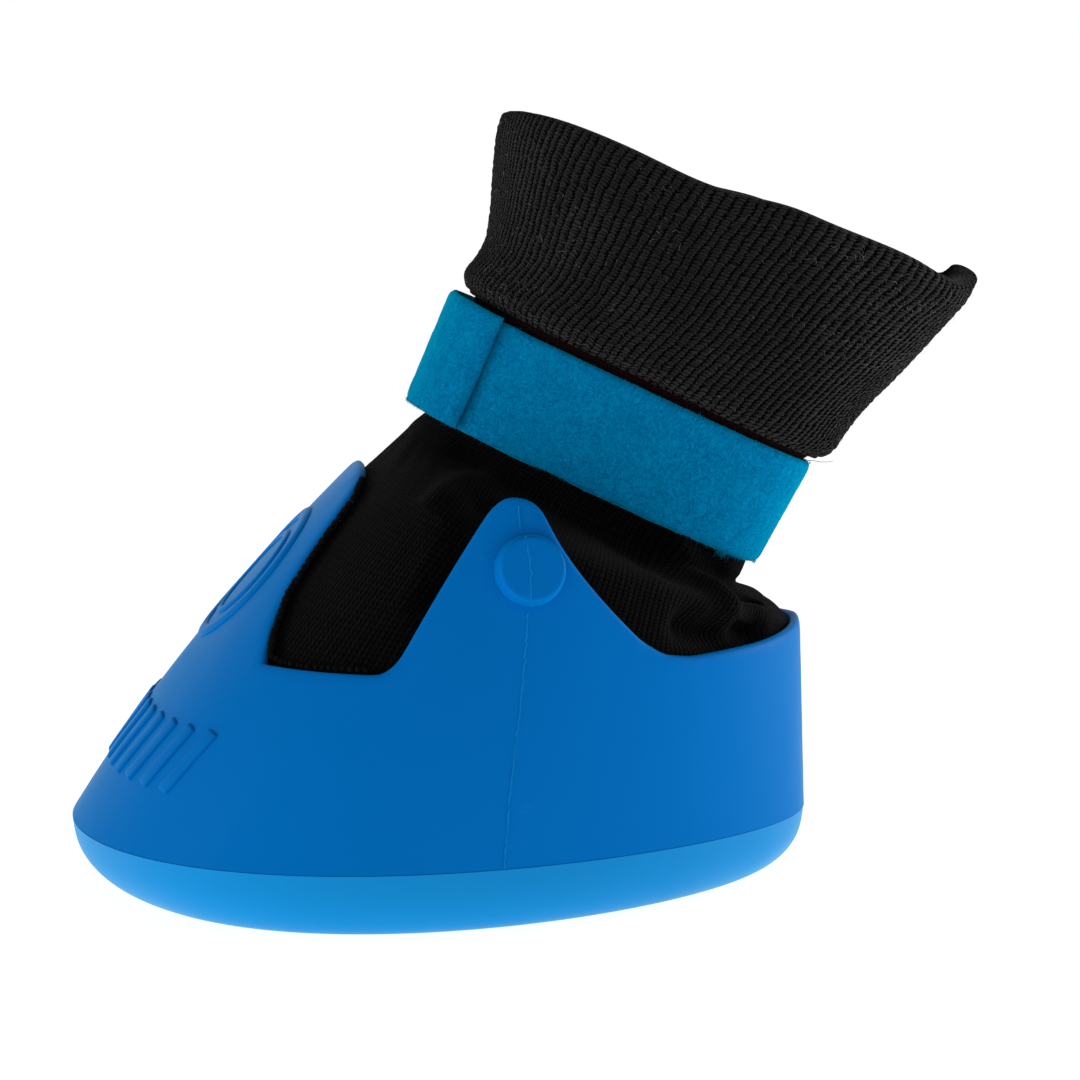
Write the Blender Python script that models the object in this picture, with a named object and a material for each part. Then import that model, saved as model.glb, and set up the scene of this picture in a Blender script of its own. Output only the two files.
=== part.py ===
"""Hoof boot for a horse: a moulded shoe, a knitted sock fixed inside it and a hook-and-loop strap.

Lengths are in metres and +Z is up. The toe points along -Y and the near side along +X.
The origin is at the middle of the sole, on the ground.
"""

import math

import bmesh
import bpy
from mathutils import Matrix, Vector
from mathutils.geometry import delaunay_2d_cdt

# Fits
seat_gap = 0.0003
cut_overrun = 0.002

# Outsole
sole_length = 0.164
sole_width = 0.144
sole_height = 0.014
sole_edge_run_toe = 0.0140
sole_edge_run_side = 0.0030
sole_edge_run_heel = 0.0145
sole_edge_fullness_share = 0.1
ledge_chamfer = 0.0004
plateau_height = 0.003
plateau_chamfer = 0.0006
toe_fullness_share = 0.235

# Tread under the outsole
tread_depth = 0.0018
tread_draft = 0.0008
rim_groove_inset = 0.016
rim_groove_width = 0.0035
slot_width = 0.0045
slot_pitch = 0.0155
slot_end_margin = 0.0035
slots_each_way = 4

# Wall of the shell, with heights taken from the parting line on top of the outsole
wall_thickness = 0.0025
sweep_height = 0.078
toe_lean_share = 0.62
toe_sweep = 0.0158
heel_lean_share = 0.03
side_lean_share = 0.14
side_sweep = 0.0073

# Rim of the shell
shield_rise = 0.0776
shield_half_angle = math.radians(35.3)
shield_edge_shares = ((0.0, 1.0), (0.178, 0.99), (0.306, 0.966), (0.402, 0.921), (0.479, 0.847),
                      (0.53, 0.747), (0.567, 0.642), (0.615, 0.542), (0.666, 0.432), (0.745, 0.311),
                      (0.839, 0.184))
window_rise = 0.0396
window_front_radius = 0.003
window_rear_radius = 0.0048
flap_rise = 0.0754
flap_front_angle = math.radians(66.0)
flap_tip_width = 0.0117
flap_front_radius = 0.0036
flap_rear_radius = 0.0190
flap_rear_run = 0.0571
heel_rise_low = 0.0394
heel_rise_back = 0.0421
heel_corner_radius = 0.031
heel_crown_share = 0.45
rim_lip_share = 0.9
pattern_pitch = 0.0053
rim_pitch = 0.0040
rim_margin_share = 0.42

# Moulded stud on each flap
stud_radius = 0.0076
stud_height = 0.0034
stud_draft = 0.0005
stud_edge = 0.0009
stud_root = 0.0012
stud_drop = 0.0141
stud_setback = 0.0218

# Insole pad
insole_thickness = 0.006
insole_chamfer = 0.0012

# Sock
sock_thickness = 0.0022
collar_front_drop = 0.0015
collar_rear_drop = 0.0012
ankle_rise = 0.0093
ankle_advance = 0.0015
ankle_length = 0.0798
ankle_width = 0.0530
ankle_shift = 0.0009
shoulder_rise_share = 0.28
shoulder_front_drop_share = 0.12
shoulder_rear_drop_share = 0.30
leg_tilt = math.radians(25.2)
section_fullness_share = 0.4

# Strap
strap_width = 0.0252
strap_thickness = 0.0020
strap_lift = 0.0044
strap_flare = 0.0018
waist_length = 0.0769
waist_width = 0.0530
waist_shift = 0.0009
hook_thickness = 0.0010
hook_length = 0.0230
hook_margin = 0.0022
band_start_angle = math.radians(-26.0)
arm_root_angle = math.radians(-58.0)
arm_climb_angle = math.radians(26.0)
tab_root_angle = math.radians(1.0)
tab_end_angle = math.radians(41.5)
strap_pitch = 0.0045
tack_length = 0.0180
tack_width = 0.0040
tack_height = 0.0008

# Cuff
cuff_gap_front = 0.0032
cuff_gap_rear = 0.0012
cuff_height_front = 0.0397
cuff_height_rear = 0.0508
cuff_mouth_sag = 0.0005
cuff_thickness = 0.0036
cuff_hem_front = 0.0426
cuff_hem_rear = 0.0474
cuff_top_front = 0.0503
cuff_top_rear = 0.0612
cuff_hem_width = 0.0620
cuff_top_width = 0.0590
cuff_height_shares = (0.0, 0.10, 0.28, 0.50, 0.75, 0.93, 1.0)
cuff_front_shares = (0.0, 0.04, -0.10, 0.30, 0.76, 1.0, 0.97)
cuff_rear_shares = (0.0, 0.10, 0.28, 0.55, 0.85, 1.0, 0.96)
cuff_stations_of_leg = (0, 2, 3, 4, 6)

# Counts
ring_points = 56
edge_steps = 6
lip_steps = 3
stud_points = 24
arc_step = math.radians(22.5)
collar_rounds = 12
row_stagger_share = 0.5
collar_rise_share = 0.9
tiny_share = 1e-4


def finish(name, colour, roughness):
    """A plain material for one sub-part."""
    material = bpy.data.materials.new(name)
    material.use_nodes = True
    shader = material.node_tree.nodes["Principled BSDF"]
    shader.inputs["Base Color"].default_value = (*colour, 1.0)
    shader.inputs["Roughness"].default_value = roughness
    shader.inputs["Metallic"].default_value = 0.0
    material.diffuse_color = (*colour, 1.0)
    return material


def make_object(name, mesh_builder, material, sharp_angle=math.radians(38.0)):
    """Turns a bmesh into a named object with outward normals and smooth round faces."""
    bmesh.ops.recalc_face_normals(mesh_builder, faces=mesh_builder.faces)
    mesh = bpy.data.meshes.new(name)
    mesh_builder.to_mesh(mesh)
    mesh_builder.free()
    mesh.materials.append(material)
    mesh.shade_smooth()
    mesh.set_sharp_from_angle(angle=sharp_angle)
    piece = bpy.data.objects.new(name, mesh)
    bpy.context.scene.collection.objects.link(piece)
    return piece


def set_origin(piece, place):
    """Moves a piece's origin on to its joint's axis and leaves its shape where it is."""
    piece.data.transform(Matrix.Translation(-place))
    piece.location = place


def loft(rings, closed_ends):
    """Skins a list of point rings. Open ends are joined first to last, as on a hollow tube."""
    builder = bmesh.new()
    loops = [[builder.verts.new(point) for point in ring] for ring in rings]
    pairs = list(zip(loops, loops[1:]))
    if not closed_ends:
        pairs.append((loops[-1], loops[0]))
    for lower, upper in pairs:
        for i in range(len(lower)):
            j = (i + 1) % len(lower)
            builder.faces.new((lower[i], lower[j], upper[j], upper[i]))
    if closed_ends:
        builder.faces.new(list(reversed(loops[0])))
        builder.faces.new(loops[-1])
    return builder


def ring_angles():
    return [math.tau * i / ring_points for i in range(ring_points)]


def mix(low, high, share):
    return low + (high - low) * share


def rear_share(phi):
    """Share of the way from the toe, 0, to the heel, 1, at an angle round the foot or the leg."""
    return (1 - math.cos(phi)) / 2


# Wall surface: an egg-shaped outline whose toe sweeps back as it rises.


def wall_outline(z):
    """Toe, heel and half width of the wall's outer outline at one height."""
    rise = max(z - sole_height, 0.0)
    share = rise / sweep_height
    toe = -sole_length / 2 + toe_lean_share * rise + toe_sweep * share**2
    heel = sole_length / 2 - heel_lean_share * rise
    half = sole_width / 2 - side_lean_share * rise - side_sweep * share**2
    return toe, heel, half


def outer_point(phi, z):
    """Point on the outer face: phi is 0 at the toe, a quarter turn at +X and a half turn at the heel."""
    toe, heel, half = wall_outline(z)
    middle = (toe + heel) / 2
    reach = (heel - toe) / 2
    x = half * math.sin(phi) * (1 + toe_fullness_share * math.cos(phi))
    return Vector((x, middle - reach * math.cos(phi), z))


def outer_normal(phi, z):
    step = tiny_share * sweep_height
    across = outer_point(phi + tiny_share, z) - outer_point(phi - tiny_share, z)
    base = max(z, sole_height + step)
    upward = outer_point(phi, base + step) - outer_point(phi, base - step)
    return across.cross(upward).normalized()


def wall_point(phi, z, depth):
    """Point at a depth under the outer face, square to that face."""
    return outer_point(phi, z) - outer_normal(phi, z) * depth


def level_point(phi, z, depth):
    """Point on the same inner face, but at exactly the height z."""
    normal = outer_normal(phi, z)
    flat = Vector((normal.x, normal.y, 0.0))
    return outer_point(phi, z) - flat * (depth / flat.length_squared)


# Outsole


def sole_ring(inset, z):
    """A ring of the wall's foot print, drawn in by an inset."""
    ring = []
    for phi in ring_angles():
        point = level_point(phi, sole_height, inset)
        ring.append(Vector((point.x, point.y, z)))
    return ring


def edge_run(phi):
    """How far the rounded edge runs in under the foot: far at the toe and the heel, little at the sides."""
    share = rear_share(phi)
    rest = 1 - share
    middle = 2 * share * rest * sole_edge_run_side
    return sole_edge_run_toe * rest**2 + middle + sole_edge_run_heel * share**2


def edge_ring(turn, height):
    """Ring of the rounded edge, from the ground at a quarter turn up to the side at none."""
    power = 1 / (1 + sole_edge_fullness_share / 2)
    ring = []
    for phi in ring_angles():
        inset = edge_run(phi) * (1 - math.cos(turn) ** power)
        point = level_point(phi, sole_height, inset)
        ring.append(Vector((point.x, point.y, height * (1 - math.sin(turn) ** power))))
    return ring


def half_width_at(ring, y):
    """Half width of a level ring where it crosses a line across the sole."""
    for i, point in enumerate(ring):
        after = ring[(i + 1) % len(ring)]
        if point.x >= 0 and after.x >= 0 and min(point.y, after.y) <= y < max(point.y, after.y):
            return mix(point.x, after.x, (y - point.y) / (after.y - point.y))
    return 0.0


def tread_slots():
    """Cutter for the cross slots: round-ended bars that stay inside the rim groove."""
    builder = bmesh.new()
    border = sole_ring(rim_groove_inset + rim_groove_width + tread_draft + slot_end_margin, 0.0)
    radius = slot_width / 2
    for number in range(-slots_each_way, slots_each_way + 1):
        if number == 0:
            continue
        y = number * slot_pitch
        reach = min(half_width_at(border, y - radius), half_width_at(border, y + radius))
        if reach < slot_width:
            continue
        outline = []
        for side in (1, -1):
            for step in range(edge_steps + 1):
                turn = -math.pi / 2 + math.pi * step / edge_steps
                x = side * (reach - radius + radius * math.cos(turn))
                outline.append((x, y + side * radius * math.sin(turn)))
        low = [builder.verts.new((x, y_edge, -cut_overrun)) for x, y_edge in outline]
        high = [builder.verts.new((x, y_edge, tread_depth)) for x, y_edge in outline]
        builder.faces.new(list(reversed(low)))
        builder.faces.new(high)
        for i in range(len(outline)):
            j = (i + 1) % len(outline)
            builder.faces.new((low[i], low[j], high[j], high[i]))
    return builder


def hide_cutter(cutter):
    cutter.hide_render = True
    cutter.display_type = "WIRE"
    return cutter


def add_boolean(piece, cutter, operation):
    modifier = piece.modifiers.new(cutter.name, "BOOLEAN")
    modifier.operation = operation
    modifier.solver = "EXACT"
    modifier.object = cutter


def build_outsole(material):
    """Rounded rubber sole: a tread below, a ledge for the wall and a plateau that fits inside it."""
    groove_outer = rim_groove_inset
    groove_inner = rim_groove_inset + rim_groove_width
    rings = [
        sole_ring(groove_inner + tread_draft, 0.0),
        sole_ring(groove_inner, tread_depth),
        sole_ring(groove_outer + tread_draft, tread_depth),
        sole_ring(groove_outer, 0.0),
    ]
    band_height = sole_height - ledge_chamfer
    for step in range(edge_steps + 1):
        turn = math.pi / 2 * (1 - step / edge_steps)
        rings.append(edge_ring(turn, band_height))
    rings.append(sole_ring(ledge_chamfer, sole_height))
    seat = wall_thickness + seat_gap
    top = sole_height + plateau_height
    rings.append([level_point(phi, sole_height, seat) for phi in ring_angles()])
    rings.append([level_point(phi, top - plateau_chamfer, seat) for phi in ring_angles()])
    rings.append([level_point(phi, top, seat + plateau_chamfer) for phi in ring_angles()])
    outsole = make_object("outsole", loft(rings, True), material)
    cutter = hide_cutter(make_object("tread_slot_cutter", tread_slots(), material))
    add_boolean(outsole, cutter, "DIFFERENCE")
    return outsole


# Shell: a flat pattern of the right half is drawn, wrapped on the wall surface and mirrored.


def pattern_radius():
    """Radius that turns an angle round the foot into a length on the flat pattern."""
    return (sole_length + sole_width) / 4


def round_corner(before, corner, after, radius):
    """Points of the arc that rounds one corner, kept shorter than the straights beside it."""
    to_before = before - corner
    to_after = after - corner
    half_angle = to_before.angle(to_after) / 2
    reach = min(radius / math.tan(half_angle), to_before.length / 2, to_after.length / 2)
    radius = reach * math.tan(half_angle)
    centre = corner + (to_before.normalized() + to_after.normalized()).normalized() * (
        radius / math.sin(half_angle)
    )
    start = corner + to_before.normalized() * reach - centre
    end = corner + to_after.normalized() * reach - centre
    steps = max(2, math.ceil((math.pi - 2 * half_angle) / arc_step))
    sweep = math.atan2(start.cross(end), start.dot(end))
    points = []
    for step in range(steps + 1):
        turn = sweep * step / steps
        cos, sin = math.cos(turn), math.sin(turn)
        points.append(centre + Vector((start.x * cos - start.y * sin, start.x * sin + start.y * cos)))
    return points


def rim_corners():
    """The rim's corners on the flat pattern, from the heel to the toe, each with its radius."""
    radius = pattern_radius()
    heel = radius * math.pi
    flap = radius * flap_front_angle
    base = sole_height
    corners = [(heel, base + heel_rise_back, 0.0)]
    low = flap + flap_tip_width + flap_rear_run
    for share in (heel_crown_share, 0.0):
        rise = mix(heel_rise_low, heel_rise_back, share**2)
        corners.append((mix(low, heel, share), base + rise, heel_corner_radius if share == 0 else 0.0))
    corners.append((flap + flap_tip_width, base + flap_rise, flap_rear_radius))
    corners.append((flap, base + flap_rise, flap_front_radius))
    corners.append((flap, base + window_rise, window_rear_radius))
    shield = radius * shield_half_angle
    corners.append((shield, base + window_rise, window_front_radius))
    for angle_share, rise_share in reversed(shield_edge_shares):
        rise = mix(window_rise, shield_rise, rise_share)
        corners.append((shield * angle_share, base + rise, 0.0))
    return [(Vector((along, z)), corner_radius) for along, z, corner_radius in corners]


def rim_line():
    """The rounded rim from the heel to the toe, with points at an even pitch on its straights."""
    corners = rim_corners()
    points = [corners[0][0]]
    for i in range(1, len(corners) - 1):
        corner, radius = corners[i]
        if radius > 0:
            points += round_corner(corners[i - 1][0], corner, corners[i + 1][0], radius)
        else:
            points.append(corner)
    points.append(corners[-1][0])
    line = [points[0]]
    for point in points[1:]:
        gap = point - line[-1]
        pieces = max(1, round(gap.length / rim_pitch))
        start = line[-1]
        line += [start + gap * (step / pieces) for step in range(1, pieces + 1)]
    return line


def inside(point, outline):
    """Tells whether a point of the pattern lies within its outline."""
    result = False
    for i, corner in enumerate(outline):
        after = outline[(i + 1) % len(outline)]
        if (corner.y > point.y) != (after.y > point.y):
            crossing = corner.x + (point.y - corner.y) / (after.y - corner.y) * (after.x - corner.x)
            if point.x < crossing:
                result = not result
    return result


def distance_to(point, outline):
    best = math.inf
    for i, corner in enumerate(outline):
        edge = outline[(i + 1) % len(outline)] - corner
        share = max(0.0, min(1.0, (point - corner).dot(edge) / edge.length_squared))
        best = min(best, (point - corner - edge * share).length)
    return best


def pattern_mesh():
    """Triangles of the flat pattern: its points, its faces and the rim's length in points."""
    rim = rim_line()
    bottom = sole_height + seat_gap
    heel = rim[0].x
    columns = round(heel / pattern_pitch)
    column_step = heel / columns
    outline = list(rim)
    toe_rows = round((rim[-1].y - bottom) / pattern_pitch)
    for row in range(1, toe_rows):
        outline.append(Vector((0.0, mix(rim[-1].y, bottom, row / toe_rows))))
    outline += [Vector((column * column_step, bottom)) for column in range(columns)]
    outline.append(Vector((heel, bottom)))
    heel_rows = round((rim[0].y - bottom) / pattern_pitch)
    for row in range(1, heel_rows):
        outline.append(Vector((heel, mix(bottom, rim[0].y, row / heel_rows))))
    row_step = pattern_pitch
    fill = []
    row_count = math.ceil(shield_rise / row_step)
    for row in range(1, row_count + 1):
        offset = row_stagger_share if row % 2 else 0.0
        for column in range(columns + 1):
            point = Vector(((column + offset) * column_step, bottom + row * row_step))
            if inside(point, outline) and distance_to(point, outline) > rim_margin_share * row_step:
                fill.append(point)
    edges = [(i, (i + 1) % len(outline)) for i in range(len(outline))]
    points, _, faces, _, _, _ = delaunay_2d_cdt(outline + fill, edges, [], 1, tiny_share * rim_pitch)
    return points, faces, len(rim), outline


def build_wall():
    """Wraps both halves of the pattern on the wall, inside and outside, and closes the edges."""
    points, faces, rim_count, outline = pattern_mesh()
    radius = pattern_radius()
    bottom = sole_height + seat_gap
    builder = bmesh.new()
    skins = {}
    for side in (1, -1):
        for depth in (0.0, wall_thickness):
            skin = []
            for index, point in enumerate(points):
                on_centre = point.x < tiny_share * radius or point.x > radius * math.pi * (1 - tiny_share)
                if side < 0 and on_centre:
                    skin.append(skins[1, depth][index])
                    continue
                phi = side * point.x / radius
                at_bottom = point.y < bottom + tiny_share * pattern_pitch
                place = level_point if at_bottom else wall_point
                position = place(phi, point.y, depth)
                if on_centre:
                    position.x = 0.0
                skin.append(builder.verts.new(position))
            skins[side, depth] = skin
            for face in faces:
                builder.faces.new([skin[i] for i in face])
    close_rim(builder, skins, rim_count)
    close_bottom(builder, skins, points, bottom)
    return builder


def close_rim(builder, skins, rim_count):
    """Rounds the rim: a half-round lip from the outer face to the inner one."""
    outer = [skins[1, 0.0][i] for i in range(rim_count)]
    inner = [skins[1, wall_thickness][i] for i in range(rim_count)]
    outer += [skins[-1, 0.0][i] for i in range(rim_count - 2, 0, -1)]
    inner += [skins[-1, wall_thickness][i] for i in range(rim_count - 2, 0, -1)]
    count = len(outer)
    middles = [(outer[i].co + inner[i].co) / 2 for i in range(count)]
    loops = [outer]
    for step in range(1, lip_steps):
        turn = math.pi * step / lip_steps
        loop = []
        for i in range(count):
            half = (outer[i].co - inner[i].co) / 2
            along = middles[(i + 1) % count] - middles[i - 1]
            outward = along.cross(half).normalized()
            swell = outward * (half.length * math.sin(turn) * rim_lip_share)
            loop.append(builder.verts.new(middles[i] + half * math.cos(turn) + swell))
        loops.append(loop)
    loops.append(inner)
    for lower, upper in zip(loops, loops[1:]):
        for i in range(count):
            j = (i + 1) % count
            builder.faces.new((lower[i], lower[j], upper[j], upper[i]))


def close_bottom(builder, skins, points, bottom):
    """Closes the flat foot of the wall, which stands on the outsole's ledge."""
    row = [i for i, point in enumerate(points) if point.y < bottom + tiny_share * pattern_pitch]
    row.sort(key=lambda i: points[i].x)
    for side in (1, -1):
        outer = [skins[side, 0.0][i] for i in row]
        inner = [skins[side, wall_thickness][i] for i in row]
        for i in range(len(row) - 1):
            builder.faces.new((outer[i], outer[i + 1], inner[i + 1], inner[i]))


def stud_angle():
    """Angle round the foot of the stud's centre, set back from the flap's front edge."""
    return flap_front_angle + stud_setback / pattern_radius()


def stud_mesh(side):
    """Round button, square to the wall, with a drafted side and a rounded edge."""
    phi = side * stud_angle()
    z = sole_height + flap_rise - stud_drop
    base = outer_point(phi, z)
    normal = outer_normal(phi, z)
    across = Vector((0.0, 0.0, 1.0)).cross(normal).normalized()
    upward = normal.cross(across)
    profile = [(stud_radius, -stud_root), (stud_radius, 0.0)]
    top_radius = stud_radius - stud_draft
    for step in range(edge_steps // 2 + 1):
        turn = math.pi / 2 * step / (edge_steps // 2)
        radius = top_radius - stud_edge * (1 - math.cos(turn))
        profile.append((radius, stud_height - stud_edge * (1 - math.sin(turn))))
    rings = []
    for radius, height in profile:
        ring = []
        for i in range(stud_points):
            turn = math.tau * i / stud_points
            direction = across * math.cos(turn) + upward * math.sin(turn)
            ring.append(base + direction * radius + normal * height)
        rings.append(ring)
    return loft(rings, True)


def build_shell(material):
    """Moulded wall with its toe shield, side flaps, heel cup and two studs."""
    shell = make_object("shell", build_wall(), material)
    for name, side in (("near_stud_form", 1), ("far_stud_form", -1)):
        stud = hide_cutter(make_object(name, stud_mesh(side), material))
        add_boolean(shell, stud, "UNION")
    return shell


# Insole pad


def insole_base():
    return sole_height + plateau_height + seat_gap


def build_insole(material):
    """Foam pad that fills the shoe's floor, inside the wall."""
    low = insole_base()
    high = low + insole_thickness
    seat = wall_thickness + seat_gap
    heights = (
        (low, seat + insole_chamfer),
        (low + insole_chamfer, seat),
        (high - insole_chamfer, seat),
        (high, seat + insole_chamfer),
    )
    rings = [[level_point(phi, z, depth) for phi in ring_angles()] for z, depth in heights]
    return make_object("insole_pad", loft(rings, True), material)


# Leg frame: a tilted frame on the ankle's centre, along towards the heel and up the leg.


def shield_tip():
    return outer_point(0.0, sole_height + shield_rise)


def heel_rim():
    return outer_point(math.pi, sole_height + heel_rise_back)


def ankle_centre():
    middle = (shield_tip() + heel_rim()) / 2
    return middle + Vector((0.0, -ankle_advance, ankle_rise))


def leg_axis():
    return Vector((0.0, math.sin(leg_tilt), math.cos(leg_tilt)))


def leg_along():
    return Vector((0.0, math.cos(leg_tilt), -math.sin(leg_tilt)))


def leg_place(x, along, up):
    return ankle_centre() + Vector((x, 0.0, 0.0)) + leg_along() * along + leg_axis() * up


def oval(phi, length, width, shift):
    """Point of an oval, fuller than an ellipse at its corners: x across and the distance along."""
    power = 2 + section_fullness_share
    flat = (abs(math.cos(phi)) ** power + abs(math.sin(phi)) ** power) ** (-1 / power)
    return flat * math.sin(phi) * width / 2, shift - flat * math.cos(phi) * length / 2


def offset_oval(phi, size, depth):
    """The same oval moved outwards by a depth, square to its line."""
    x, along = oval(phi, *size)
    before = oval(phi - tiny_share, *size)
    after = oval(phi + tiny_share, *size)
    tangent = Vector((after[0] - before[0], after[1] - before[1])).normalized()
    return x + tangent.y * depth, along - tangent.x * depth


def leg_point(phi, up, size, depth):
    x, along = offset_oval(phi, size, depth)
    return leg_place(x, along, up)


# Sock


def sock_base():
    return insole_base() + insole_thickness + seat_gap


def collar_height(phi):
    """Height at which the sock leaves the wall: high behind the shield and low at the heel."""
    front = shield_tip().z - collar_front_drop
    rear = heel_rim().z - collar_rear_drop
    start = outer_point(0.0, front)
    end = outer_point(math.pi, rear)
    slope = (rear - front) / (end.y - start.y)
    z = mix(front, rear, rear_share(phi))
    for _ in range(collar_rounds):
        z = front + slope * (outer_point(phi, z).y - start.y)
    return z


def lining_point(phi, share, depth):
    """Point of the sock against the wall, with share 0 at its floor and 1 at the collar line."""
    z = mix(sock_base(), collar_height(phi), share)
    return level_point(phi, z, wall_thickness + seat_gap + depth)


def build_sock_foot(material):
    """Closed bag of knitted cloth that lines the shell and rests on the insole."""
    shares = (0.0, 0.25, 0.5, 0.75, 1.0)
    rings = [[lining_point(phi, share, 0.0) for phi in ring_angles()] for share in shares]
    inner = [[lining_point(phi, share, sock_thickness) for phi in ring_angles()] for share in shares[1:]]
    low = []
    for phi in ring_angles():
        point = level_point(phi, sock_base(), wall_thickness + seat_gap + sock_thickness)
        low.append(point + Vector((0.0, 0.0, sock_thickness)))
    rings += list(reversed(inner)) + [low]
    return make_object("sock_foot", loft(rings, True), material)


def ankle_size():
    return ankle_length, ankle_width, ankle_shift


def shoulder_curve(phi, share):
    """Outer face of the shoulder: it leaves the wall along its slope and reaches the ankle along the leg."""
    start = lining_point(phi, 1.0, 0.0)
    rise = (start - lining_point(phi, collar_rise_share, 0.0)).normalized()
    start = start + rise * seat_gap
    end = leg_point(phi, -seat_gap, ankle_size(), 0.0)
    span = (end - start).length
    first_height = start.z + rise.z * span * shoulder_rise_share
    first = level_point(phi, first_height, wall_thickness + 2 * seat_gap)
    drop_share = mix(shoulder_front_drop_share, shoulder_rear_drop_share, rear_share(phi))
    second = end - leg_axis() * (span * drop_share)
    rest = 1 - share
    return (
        start * rest**3
        + first * (3 * rest**2 * share)
        + second * (3 * rest * share**2)
        + end * share**3
    )


def shoulder_point(phi, share, depth):
    """Point at a depth under the shoulder's outer face: level at the collar line, then square to the face."""
    across = shoulder_curve(phi + tiny_share, share) - shoulder_curve(phi - tiny_share, share)
    upward = shoulder_curve(phi, share + tiny_share) - shoulder_curve(phi, share - tiny_share)
    square = across.cross(upward).normalized() * depth
    level = lining_point(phi, 1.0, 0.0) - lining_point(phi, 1.0, depth)
    return shoulder_curve(phi, share) - mix(square, level, (1 - share) ** 4)


def build_sock_ankle(material):
    """Gathered shoulder of the sock, which bends when the leg leans."""
    shares = (0.0, 0.25, 0.5, 0.75, 1.0)
    rings = [[shoulder_point(phi, share, 0.0) for phi in ring_angles()] for share in shares]
    for share in reversed(shares):
        rings.append([shoulder_point(phi, share, sock_thickness) for phi in ring_angles()])
    return make_object("sock_ankle", loft(rings, False), material)


def waist_size(up):
    """Size of the sock's section inside the strap, which flares upwards."""
    share = (up - strap_lift) / strap_width
    length = waist_length + 2 * strap_flare * share
    shift = waist_shift + strap_flare * share / 2
    return length, waist_width + strap_flare * share, shift


def cuff_up(phi, share):
    """Distance up the leg of a cuff ring, whose top edge rises towards the heel."""
    base = strap_lift + strap_width + mix(cuff_gap_front, cuff_gap_rear, rear_share(phi))
    height = mix(cuff_height_front, cuff_height_rear, rear_share(phi))
    sag = cuff_mouth_sag * math.sin(phi) ** 2
    return base + (height - sag) * share


def cuff_size(station):
    """Outer size of the cuff at one of its stations, from its reach to the front and to the rear."""
    front = mix(cuff_hem_front, cuff_top_front, cuff_front_shares[station])
    rear = mix(cuff_hem_rear, cuff_top_rear, cuff_rear_shares[station])
    width = mix(cuff_hem_width, cuff_top_width, cuff_height_shares[station])
    return front + rear, width, (rear - front) / 2


def cuff_ring(station, extra, depth):
    """Ring of the cuff at one station, moved up by an extra and inwards by a depth."""
    share = cuff_height_shares[station]
    size = cuff_size(station)
    return [leg_point(phi, cuff_up(phi, share) + extra, size, -depth) for phi in ring_angles()]


def leg_rings(depth):
    """Rings of the sock's leg, from the ankle, through the strap and up inside the cuff."""
    ankle_up = (0.0, strap_lift / 2)
    rings = [[leg_point(phi, up, ankle_size(), -depth) for phi in ring_angles()] for up in ankle_up]
    for up in (strap_lift, strap_lift + strap_width):
        rings.append([leg_point(phi, up, waist_size(up), -depth) for phi in ring_angles()])
    inset = cuff_thickness + seat_gap + depth
    rings += [cuff_ring(station, 0.0, inset) for station in cuff_stations_of_leg]
    return rings


def build_sock_leg(material):
    """Tube of knitted cloth under the strap and inside the cuff."""
    rings = leg_rings(0.0) + list(reversed(leg_rings(sock_thickness)))
    return make_object("sock_leg", loft(rings, False), material)


def build_cuff(material):
    """Thick turned-down top of the sock, round-edged at its hem and at its mouth."""
    half = cuff_thickness / 2
    stations = range(len(cuff_height_shares))
    outer = [cuff_ring(station, 0.0, 0.0) for station in stations]
    inner = [cuff_ring(station, 0.0, cuff_thickness) for station in reversed(stations)]
    hem = cuff_ring(0, -half / 2, half)
    mouth = cuff_ring(len(cuff_height_shares) - 1, half / 2, half)
    rings = [hem] + outer + [mouth] + inner
    return make_object("cuff", loft(rings, False), material)


# Strap: stretches of webbing that follow the sock's section.


def climb(phi):
    """Share of the step from the sock to the outer layer, between the arm's root and the band's start."""
    share = (phi - arm_root_angle) / arm_climb_angle
    share = max(0.0, min(1.0, share))
    return share * share * (3 - 2 * share)


def outer_layer_lift():
    return strap_thickness + hook_thickness + 2 * seat_gap


def webbing(start, end, lift, thickness, low, high):
    """A stretch of webbing between two angles. The lift is a function of the angle."""
    length = abs(end - start) * (waist_length + waist_width) / 4
    steps = max(2, math.ceil(length / strap_pitch))
    sections = []
    for step in range(steps + 1):
        phi = mix(start, end, step / steps)
        inner = seat_gap + lift(phi)
        outer = inner + thickness
        sections.append(
            [
                leg_point(phi, low, waist_size(low), inner),
                leg_point(phi, high, waist_size(high), inner),
                leg_point(phi, high, waist_size(high), outer),
                leg_point(phi, low, waist_size(low), outer),
            ]
        )
    return loft(sections, True)


def no_lift(phi):
    return 0.0


def arm_lift(phi):
    return outer_layer_lift() * climb(phi)


def hook_lift(phi):
    """Lift of what lies on the band's outer face."""
    return strap_thickness + seat_gap


def angle_of(length):
    """Angle at the front bend that covers a length of webbing."""
    return length / (waist_width / 2)


def strap_edges():
    return strap_lift, strap_lift + strap_width


def joint_split():
    """Half of the small gap between two stretches of the strap, as an angle."""
    return angle_of(seat_gap) / 2


def strap_hinge(phi, lift):
    """Middle of the strap's outer face at an angle, where a stretch of the strap turns."""
    middle = strap_lift + strap_width / 2
    return leg_point(phi, middle, waist_size(middle), seat_gap + lift(phi) + strap_thickness)


def build_band(material):
    """Stretch of the strap that stays round the sock."""
    end = math.tau + arm_root_angle - joint_split()
    band = webbing(band_start_angle, end, no_lift, strap_thickness, *strap_edges())
    return make_object("strap_band", band, material)


def build_arm(material):
    """Stretch that swings out at the far front bend and climbs over the band's start."""
    start = arm_root_angle + joint_split()
    arm = webbing(start, tab_root_angle - joint_split(), arm_lift, strap_thickness, *strap_edges())
    piece = make_object("strap_arm", arm, material)
    set_origin(piece, strap_hinge(arm_root_angle, arm_lift))


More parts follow.
